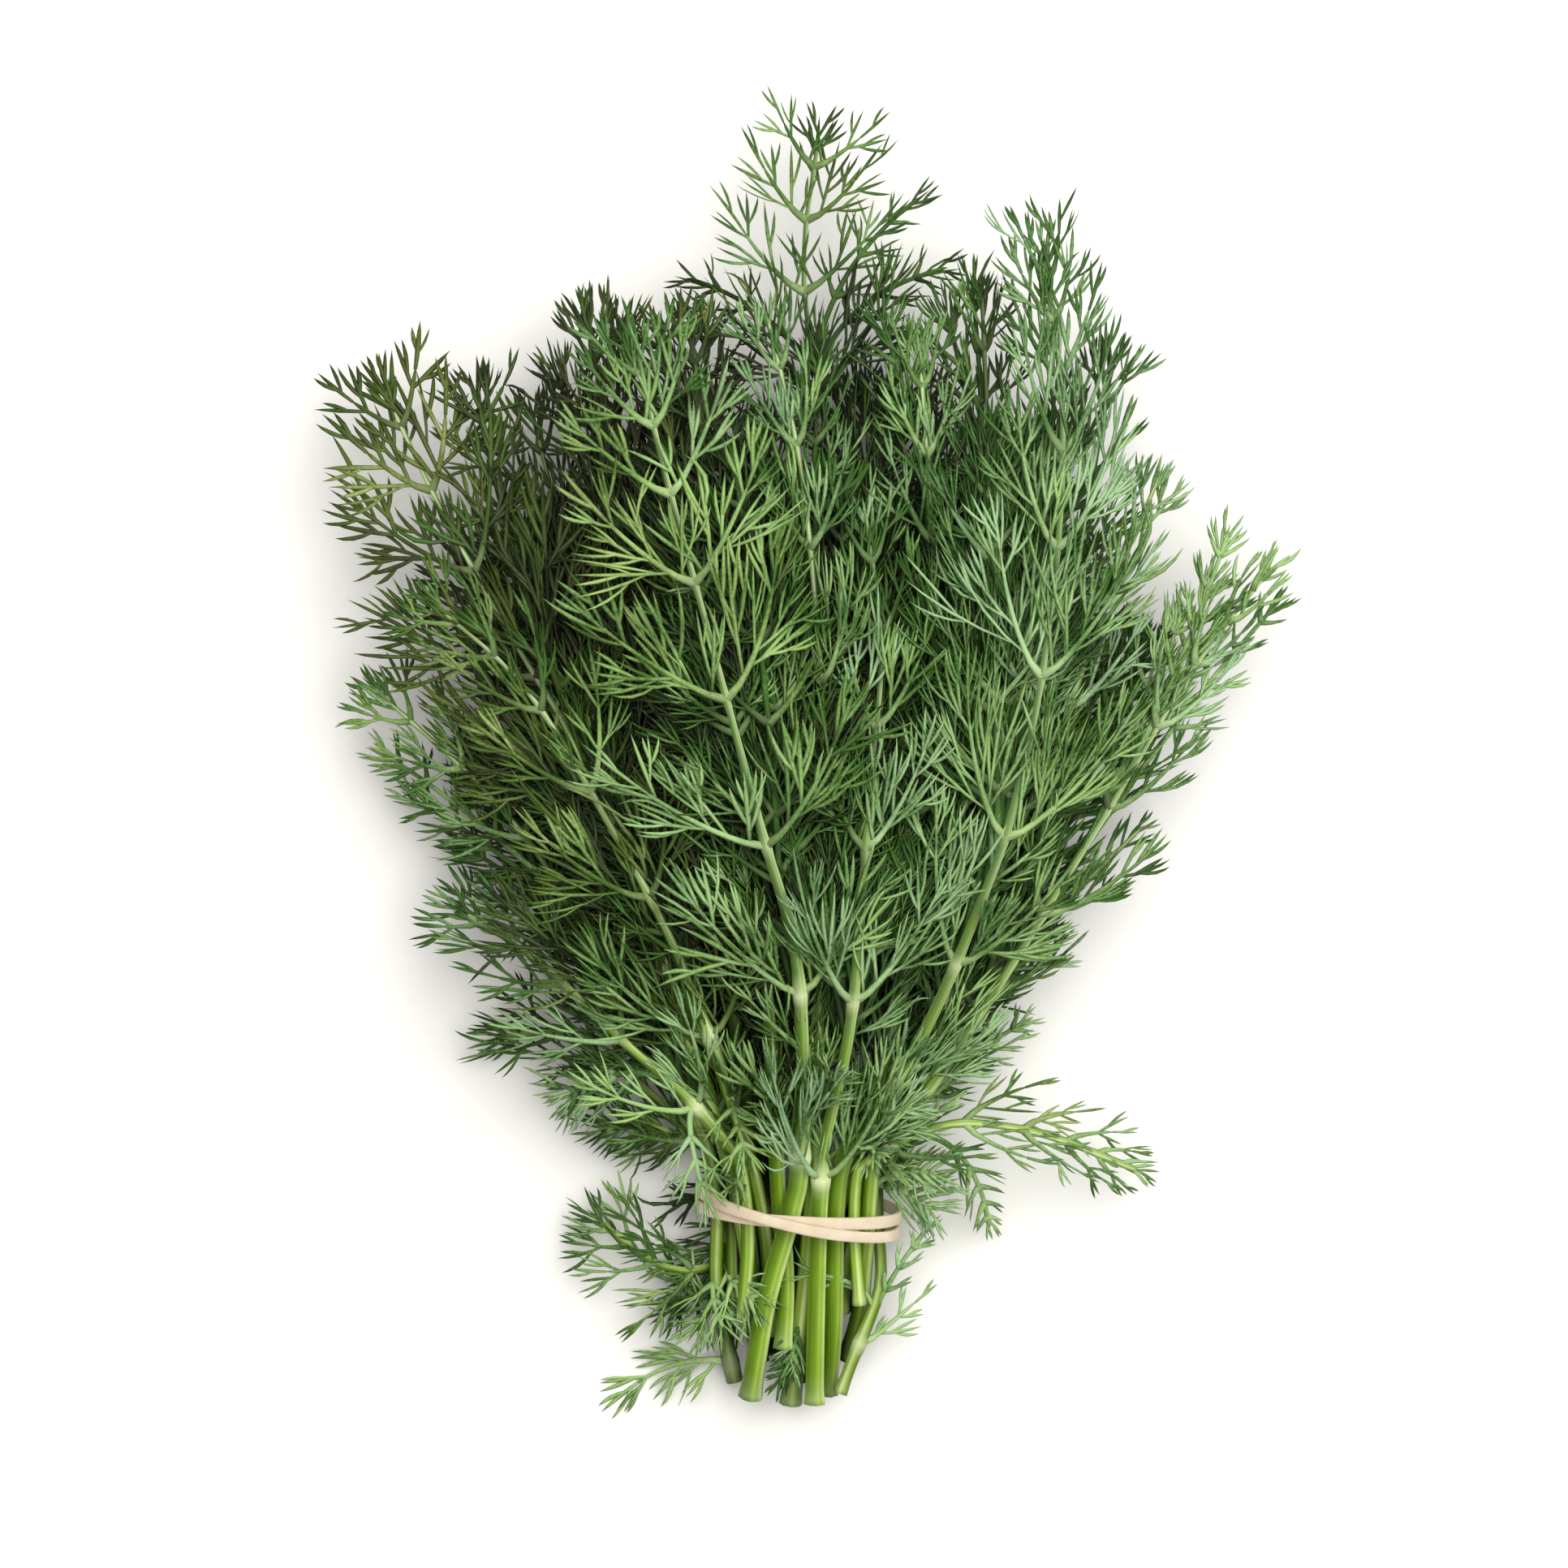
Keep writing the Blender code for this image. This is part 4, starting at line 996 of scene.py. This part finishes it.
def thread_rings(rows, sides, canopy):
    """A set of threads: their points, faces, paleness and growth and shade colours, whose tone
    carries painted light and shade.
    """
    rows = np.array(rows)
    start, middle, end, over = (rows[:, None, 3 * k:3 * k + 3] for k in range(4))
    half, tone, bloom = (rows[:, k, None] for k in (12, 13, 14))
    # Painted light and shade: each thread's tone is shaded by where it lies in the bunch.
    tone = shaded(tone, 0.5 * (start + end)[:, 0], canopy)
    rings = THREAD_RINGS[sides]
    u = rings[None, :, None]
    line = (1 - u) ** 2 * start + 2 * u * (1 - u) * middle + u**2 * end
    side, above = ring_axes((1 - u) * (middle - start) + u * (end - middle), over)
    wide = (half * np.interp(rings, *THREAD_OUTLINE))[..., None]
    thick = wide * THREAD_THICKNESS
    angle = 2 * math.pi * np.arange(sides) / sides
    if sides == 3:
        angle += math.pi / 2
    ring = np.stack([line + math.cos(a) * wide * side + math.sin(a) * thick * above
                     for a in angle], axis=2)
    count = len(rows)
    points = np.concatenate([ring.reshape(count, -1, 3), end], axis=1)
    each = points.shape[1]
    quads, tips, foot = ring_faces(each, sides)
    shift = each * np.arange(count)[:, None, None]
    faces = (quads + shift).reshape(-1, 4).tolist() + (tips + shift).reshape(-1, 3).tolist()
    faces += (foot + shift[:, 0]).tolist()
    reach = np.append(np.repeat(rings, sides), 1.0)
    growth = np.stack([np.broadcast_to(layer, (count, each)) for layer in (tone, bloom, reach, 1.0)],
                      axis=-1)
    pale = np.broadcast_to(0.1 * (1 - reach), (count, each))
    return points.reshape(-1, 3), faces, pale.ravel(), growth.reshape(-1, 4)


def tube_rings(path, radii, up, sides, ribs, turn=0.0):
    """A tube along a path, open at its foot and drawn to a point at its end, turned on its axis."""
    side, above = ring_axes(np.gradient(path, axis=0), up)
    angle = 2 * math.pi * np.arange(sides) / sides
    rib = 1 + ribs * np.cos(angle * sides / 2) * (0.55 + 0.45 * np.cos(3 * angle + 1))
    facing = (angle + turn)[None, :, None]
    out = np.cos(facing) * side[:, None] + np.sin(facing) * above[:, None]
    points = path[:, None] + out * rib[None, :, None] * radii[:, None, None]
    points = np.concatenate([points[:-1].reshape(-1, 3), path[-1:]])
    quads, tips, foot = ring_faces(len(points), sides)
    return points, quads.tolist() + tips.tolist(), foot.tolist(), rib


def stalk(spine, radius, bare, places, canopy, turn):
    """The ribbed stem, with its nodes and its cut end, and its painted highlight and painted
    shade.
    """
    length = length_of(spine)
    marks = [np.linspace(0, length, round(length / STALK_STEP) + 1), CUT_RINGS]
    marks += [p + NODE_RINGS for p in places]
    marks = np.unique(np.concatenate(marks).round(2))
    marks = marks[(marks >= 0) & (marks <= length)]
    marks = marks[np.append(True, np.diff(marks) > LEAST_RING_GAP)]
    near = np.min([np.abs(marks - p) for p in places], axis=0)
    radii = stem_radius(radius, bare, length, marks)
    radii *= 1 - MIDRIB_SLIMMING[0] * ramp(marks, *MIDRIB_SLIMMING[1:])
    radii *= 1 + NODE_SWELL[0] * fading(near, NODE_SWELL[1])
    radii *= 1 + CUT_FLARE[0] * fading(marks, CUT_FLARE[1])
    stout = np.clip((radii - 0.8) / 0.8, 0.1, 1)
    pale = NODE_PALENESS[0] * stout * fading(near, NODE_PALENESS[1])
    pale = pale + CUT_PALENESS[0] * fading(marks, CUT_PALENESS[1])
    points, faces, foot, rib = tube_rings(at(spine, marks), radii, UPRIGHT, STALK_SIDES,
                                          RIB_DEPTH, turn)
    distance = np.append(np.repeat(marks[:-1], STALK_SIDES), length)
    round_stem = 2 * math.pi * np.arange(STALK_SIDES) / STALK_SIDES
    # The ridge colour is the real ribs plus a painted highlight: two lighter bands down the stem's
    # sides.
    middle, by_rib, by_side = STREAK_LIGHT
    ridge_and_highlight = middle + by_rib * (rib - 1) / RIB_DEPTH + by_side * np.cos(2 * round_stem)
    ridge_and_highlight = np.append(np.tile(ridge_and_highlight, len(marks) - 1), 0.5)
    # Painted shade: stems low in the bundle near the cut end are darkened, and so are those deep
    # under the canopy.
    under = np.clip(1 - points[:, 2] / 18, 0, 1)
    under *= np.clip(1.3 - distance / 70, 0, 1)
    lit = shaded(STALK_LIGHT, points, canopy)[:, 0] - UNDER_SHADE * under
    growth = np.stack([ridge_and_highlight, lit, ramp(distance, *AGEING), np.ones(len(points))], axis=-1)
    pale = np.append(np.repeat(pale[:-1], STALK_SIDES), 0)
    return points, faces, foot, pale, growth


# Dill leaf: a living leaf with a thin coat of wax. It is a dull, soft green that runs from fresh
# grass green to a waxy blue-green, paler where it joins its stalk and yellowish at its very tip.
# Its tone also carries painted light and shade, from near black where the painted shade is deepest
# to pale where the painted light is strongest. Its pores are drawn as flecks, far coarser than
# real ones, so that they break up the green.
LEAF_PATCHES = scale_of(11.1)
LEAF_FLECKS = scale_of(0.667)
leaf_skin, tree, out, place = new_material("dill_leaf_waxy")
growth = add(tree, "Attribute", attribute_name="growth").outputs["Color"]
growth = add(tree, "SeparateColor", {0: growth})
paleness = add(tree, "Attribute", attribute_name="pale").outputs["Fac"]
patch = add(tree, "TexNoise", {"Vector": place, "Scale": LEAF_PATCHES, "Detail": 2.0}).outputs[0]
fleck = add(tree, "TexNoise", {"Vector": place, "Scale": LEAF_FLECKS, "Detail": 3.0}).outputs[0]
shift = add(tree, "MapRange", {0: patch, 1: 0.3, 2: 0.7, 3: -0.22, 4: 0.22}).outputs[0]
speck = add(tree, "MapRange", {0: fleck, 1: 0.3, 2: 0.7, 3: -0.1, 4: 0.1}).outputs[0]
# The leaf's tone with its painted light and shade, broken up by patches and flecks.
light = add(tree, "Math", {0: growth.outputs[0], 1: shift}, operation="ADD").outputs[0]
light = add(tree, "Math", {0: light, 1: speck}, operation="ADD", use_clamp=True).outputs[0]
shades = []
for colours in (("#141a02", "#4a5b12", "#a0ab6c"), ("#0a1c01", "#2e5c0e", "#93b768"),
                ("#081e04", "#2b5c1e", "#99bc91")):
    deep = add(tree, "MapRange", {0: light, 1: 0.0, 2: 0.5}).outputs[0]
    high = add(tree, "MapRange", {0: light, 1: 0.5, 2: 1.0}).outputs[0]
    low, middle, top = (linear(colour) for colour in colours)
    lower = add(tree, "Mix", {0: deep, 6: low, 7: middle}, data_type="RGBA").outputs[2]
    shades.append(add(tree, "Mix", {0: high, 6: lower, 7: top}, data_type="RGBA").outputs[2])
olive, fresh, waxy = shades
# Leaves whose bloom is below 0 are mixed toward olive.
toward_olive = add(tree, "MapRange", {0: growth.outputs[1], 1: 0.0, 2: -0.5}).outputs[0]
green = add(tree, "Mix", {0: growth.outputs[1], 6: fresh, 7: waxy}, data_type="RGBA").outputs[2]
green = add(tree, "Mix", {0: toward_olive, 6: green, 7: olive}, data_type="RGBA").outputs[2]
tip = add(tree, "MapRange", {0: growth.outputs[2], 1: 0.86, 2: 1.0, 3: 0.0, 4: 0.55}).outputs[0]
for share, colour in ((paleness, "#cfdfa6"), (tip, "#b7bf7d")):
    green = add(tree, "Mix", {0: share, 6: green, 7: linear(colour)}, data_type="RGBA").outputs[2]
wrinkle = add(tree, "Bump", {"Height": fleck, "Strength": 0.3, "Distance": 0.1 * MM}).outputs[0]
surface = add(tree, "BsdfPrincipled", {"Base Color": green, "Roughness": 0.52, "IOR": 1.42,
                                       "Specular IOR Level": 0.16, "Normal": wrinkle})
tree.links.new(surface.outputs[0], out.inputs[0])

# Dill stem: a juicy, smooth skin with pale lengthwise ribs and darker grooves, over which two
# lighter bands down its sides and a pale streak on its crests are a painted highlight. It is
# yellow-green at the cut end, greyer green higher up and nearly white at the nodes, with a soft
# wet shine, and it is darkened by painted shade where it lies low or deep in the bunch. Its
# fibres are drawn about a millimetre apart, coarser than real ones, so that they show.
STEM_FIBRES = scale_of(1.43)
STEM_BLOTCHES = scale_of(8.33)
stem_skin, tree, out, place = new_material("dill_stem_ribbed")
growth = add(tree, "Attribute", attribute_name="growth").outputs["Color"]
growth = add(tree, "SeparateColor", {0: growth})
paleness = add(tree, "Attribute", attribute_name="pale").outputs["Fac"]
fleck = add(tree, "TexNoise", {"Vector": place, "Scale": STEM_FIBRES, "Detail": 3.0}).outputs[0]
blotch = add(tree, "TexNoise", {"Vector": place, "Scale": STEM_BLOTCHES, "Detail": 2.0}).outputs[0]
# The ridge colour mixes grooves and crests, together with its painted highlight bands.
ridge_and_highlight = add(tree, "MapRange", {0: growth.outputs[0], 1: 0.1, 2: 0.9}).outputs[0]
groove = add(tree, "Mix", {0: growth.outputs[2], 6: linear("#4c6e06"), 7: linear("#506e3e")},
             data_type="RGBA").outputs[2]
crest = add(tree, "Mix", {0: growth.outputs[2], 6: linear("#98bb34"), 7: linear("#93ad7c")},
            data_type="RGBA").outputs[2]
green = add(tree, "Mix", {0: ridge_and_highlight, 6: groove, 7: crest}, data_type="RGBA").outputs[2]
# Painted highlight: the brightest part of the ridge colour is mixed toward a pale streak.
highlight_streak = add(tree, "MapRange", {0: growth.outputs[0], 1: 0.55, 2: 1.0, 3: 0.0, 4: 0.6}).outputs[0]
mottle = add(tree, "MapRange", {0: blotch, 1: 0.35, 2: 0.7, 3: 0.0, 4: 0.4}).outputs[0]
for share, colour in ((highlight_streak, "#e0eeb2"), (mottle, "#6f9116"), (paleness, "#dde7b6")):
    green = add(tree, "Mix", {0: share, 6: green, 7: linear(colour)}, data_type="RGBA").outputs[2]
# Painted shade: where the stalk's light is low, its green is mixed toward a near-black green.
stem_shade = add(tree, "MapRange", {0: growth.outputs[1], 1: 0.3, 2: 0.8}).outputs[0]
green = add(tree, "Mix", {0: stem_shade, 6: linear("#162a08"), 7: green}, data_type="RGBA").outputs[2]
skin = add(tree, "Bump", {"Height": fleck, "Strength": 0.2, "Distance": 0.2 * MM}).outputs[0]
surface = add(tree, "BsdfPrincipled", {"Base Color": green, "Roughness": 0.4, "IOR": 1.42,
                                       "Specular IOR Level": 0.25, "Normal": skin})
tree.links.new(surface.outputs[0], out.inputs[0])

# Cut stem: the wet pith and fibres where a knife went through, pale straw green and porous. Its
# pores are drawn at 0.4 mm, coarser than real ones, so that they show.
PITH_PORES = scale_of(0.385)
cut_skin, tree, out, place = new_material("dill_stem_cut_face")
pores = add(tree, "TexVoronoi", {"Vector": place, "Scale": PITH_PORES}).outputs["Distance"]
pith = add(tree, "Mix", {0: pores, 6: linear("#a9bf6e"), 7: linear("#e9efc4")}, data_type="RGBA")
pits = add(tree, "Bump", {"Height": pores, "Strength": 0.5, "Distance": 0.2 * MM}).outputs[0]
surface = add(tree, "BsdfPrincipled", {"Base Color": pith.outputs[2], "Roughness": 0.45,
                                       "IOR": 1.38, "Normal": pits})
tree.links.new(surface.outputs[0], out.inputs[0])

# The stems are laid as the solids' are: pressed apart, then given side branches where there is room.
raw = [smooth_path(row[1]) for row in LEAFY_STEMS]
girths = [stem_radius(row[2], row[3], length_of(s), np.linspace(0, length_of(s), len(s)))
          for row, s in zip(LEAFY_STEMS, raw)]
spines = settled(raw, girths)
room = Room()
for row, spine, girth in zip(LEAFY_STEMS, spines, girths):
    room.take(spine[::2], girth[::2] + 0.1, row[0])
room.take(band_path(BAND_POINTS, 0.0), 0.55 * BAND_STRIP[0], "rubber_band")
plans = [leaf_plan(room, number, row, spine)
         for number, (row, spine) in enumerate(zip(LEAFY_STEMS, spines))]

# Each stem's leaf then gets all its finer parts. Its thin threads, on the small leaves and under
# leaves, have three sides where the others have four.
leaves = []
for number, (row, spine, plan) in enumerate(zip(LEAFY_STEMS, spines, plans)):
    name, _, _, bare, _, reach, roll, _, bloom, light, sweep, width = row
    rng = np.random.default_rng([SEED, 700, number])
    leaf = {"threads": [], "thin": [], "tubes": [], "bloom": bloom, "light": light,
            "full": FULLNESS.get(name, 1.0), "sweep": sweep, "width": width}
    for _, branch in plan:
        fine_branch(leaf, branch, twigs_of(room, branch), rng)
    fine_tip(leaf, spine, max(place for place, _ in plan) + 1.5, reach, roll, rng)
    for hand in UNDER_HANDS.get(name, (-1, 1) * 4) if length_of(spine) > 110 else ():
        under_leaf(leaf, spine, reach, roll, hand, rng)
    if bare > 46:
        low_shoots(leaf, spine, bare, roll, rng)
    for place, end, long, tone in FURTHER_LEAVES.get(name, ()):
        start, far = at(spine, place), np.array(end, float)
        along = stance(spine, place, roll)[0]
        middle = start + 0.3 * length_of(np.array([start, far])) * along + 0.25 * (far - start)
        small_leaf(leaf, bowed(start, middle, far), long, roll, tone, rng,
                   (0.3, 0.48, 0.64, 0.78, 0.9) if long > 10 else (0.34, 0.58, 0.8))
    leaves.append(leaf)
canopy = canopy_of(leaves, spines)

# Each is made into one mesh, with its stalk, its threads and its branches in turn. The growth
# and shade colour holds a leaf's tone with its painted light and shade, its bloom and its place
# along its thread, or a stalk's ridge colour with its painted highlight streak, its light with
# painted light and shade, and its age.
for row, spine, plan, leaf in zip(LEAFY_STEMS, spines, plans, leaves):
    places = [place for place, _ in plan]
    turn = math.radians(RIB_TURN[0] + RIB_TURN[1] * math.sin(7 * int(row[0][-2:])))
    points, faces, foot, pale, growth = stalk(spine, row[2], row[3], places, canopy, turn)
    sets = [(points, faces + [foot], [1] * len(faces) + [2], pale, growth)]
    for rows, sides in ((leaf["threads"], 4), (leaf["thin"], 3)):
        if rows:
            points, faces, pale, growth = thread_rings(rows, sides, canopy)
            sets.append((points, faces, [0] * len(faces), pale, growth))
    for path, radii, up, pale, tone, bloom in leaf["tubes"]:
        points, faces, foot, _ = tube_rings(path, radii, up, BRANCH_SIDES, 0)
        faces += [foot]
        # Painted light and shade: the tube takes its tone from where its end lies in the bunch, and
        # its pale root is dimmed with that painted shade.
        tone = shaded(np.array([[tone + BRANCH_LIFT]]), path[-3:-2], canopy)[0, 0]
        pale = np.append(np.repeat(pale[:-1], BRANCH_SIDES), 0.0) * min(1.0, 0.2 + 1.3 * tone)
        growth = np.tile([tone, bloom, 0.0, 1.0], (len(points), 1))
        sets.append((points, faces, [0] * len(faces), pale, growth))

    shift, faces, kinds = 0, [], []
    for points, some, kind, _, _ in sets:
        faces += [[k + shift for k in face] for face in some]
        kinds += kind
        shift += len(points)
    points, pale, growth = (np.concatenate([part[k] for part in sets]) for k in (0, 3, 4))
    high = np.maximum(points[:, 2] - HEIGHT_LIMIT, 0)
    eased = points[:, 2] - high + HEIGHT_EASE * np.tanh(high / HEIGHT_EASE)
    points[:, 2] = np.clip(eased, 0.05, None)
    stem = mesh_object("dill_" + row[0], points, faces, [leaf_skin, stem_skin, cut_skin], kinds,
                       growth=growth, pale=pale)
    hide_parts(row[0])
    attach(stem, "root")


# The table, the light and the camera
# A plain pale floor, one broad soft light from the upper right with a weak one from the left, and
# a camera straight above the bunch.
FLOOR_HALF = 2000.0
FLOOR_CLOUDS = scale_of(83.3)
FILM_WIDTH = 36.0
FOCAL_LENGTH = 135.0
CAMERA_PLACE = (-5.7, -4.5, 1112)

# Matt white paint, rolled on: a dull, even white with faint soft clouds.
floor_paint, tree, out, place = new_material("matt_white_floor")
soft = add(tree, "TexNoise", {"Vector": place, "Scale": FLOOR_CLOUDS, "Detail": 2.0}).outputs[0]
white = add(tree, "Mix", {0: soft, 6: linear("#f1f0ee"), 7: linear("#f5f4f2")}, data_type="RGBA")
surface = add(tree, "BsdfPrincipled", {"Base Color": white.outputs[2], "Roughness": 0.8})
tree.links.new(surface.outputs[0], out.inputs[0])
corners = FLOOR_HALF * np.array([[-1.0, -1, 0], [1, -1, 0], [1, 1, 0], [-1, 1, 0]])
floor = mesh_object("pale_floor", corners, [[0, 1, 2, 3]], [floor_paint])

world = bpy.data.worlds.new("soft_daylight")
world.use_nodes = True
sky = world.node_tree.nodes["Background"]
sky.inputs["Color"].default_value = linear("#f3f5f8")
sky.inputs["Strength"].default_value = 0.3
bpy.context.scene.world = world


def soft_light(name, place, size, power, colour):
    """A square area light that faces the bunch."""
    lamp = bpy.data.lights.new(name, "AREA")
    lamp.size = size
    lamp.energy = power
    lamp.color = linear(colour)[:3]
    holder = bpy.data.objects.new(name, lamp)
    holder.location = place
    x, y, z = unit(np.array(place))
    holder.rotation_euler = (math.acos(z), 0, math.atan2(x, -y))
    bpy.context.scene.collection.objects.link(holder)


soft_light("window_light", (0.36, 0.34, 1.15), size=1.5, power=26.0, colour="#fffdf8")
soft_light("room_fill", (-0.8, -0.3, 0.9), size=1.0, power=2.5, colour="#fff6ea")

camera = bpy.data.objects.new("camera", bpy.data.cameras.new("camera"))
camera.data.sensor_width = FILM_WIDTH
camera.data.lens = FOCAL_LENGTH
camera.data.clip_start = 0.01
camera.location = [distance * MM for distance in CAMERA_PLACE]
bpy.context.scene.collection.objects.link(camera)
bpy.context.scene.camera = camera
bpy.context.scene.view_settings.view_transform = "Standard"
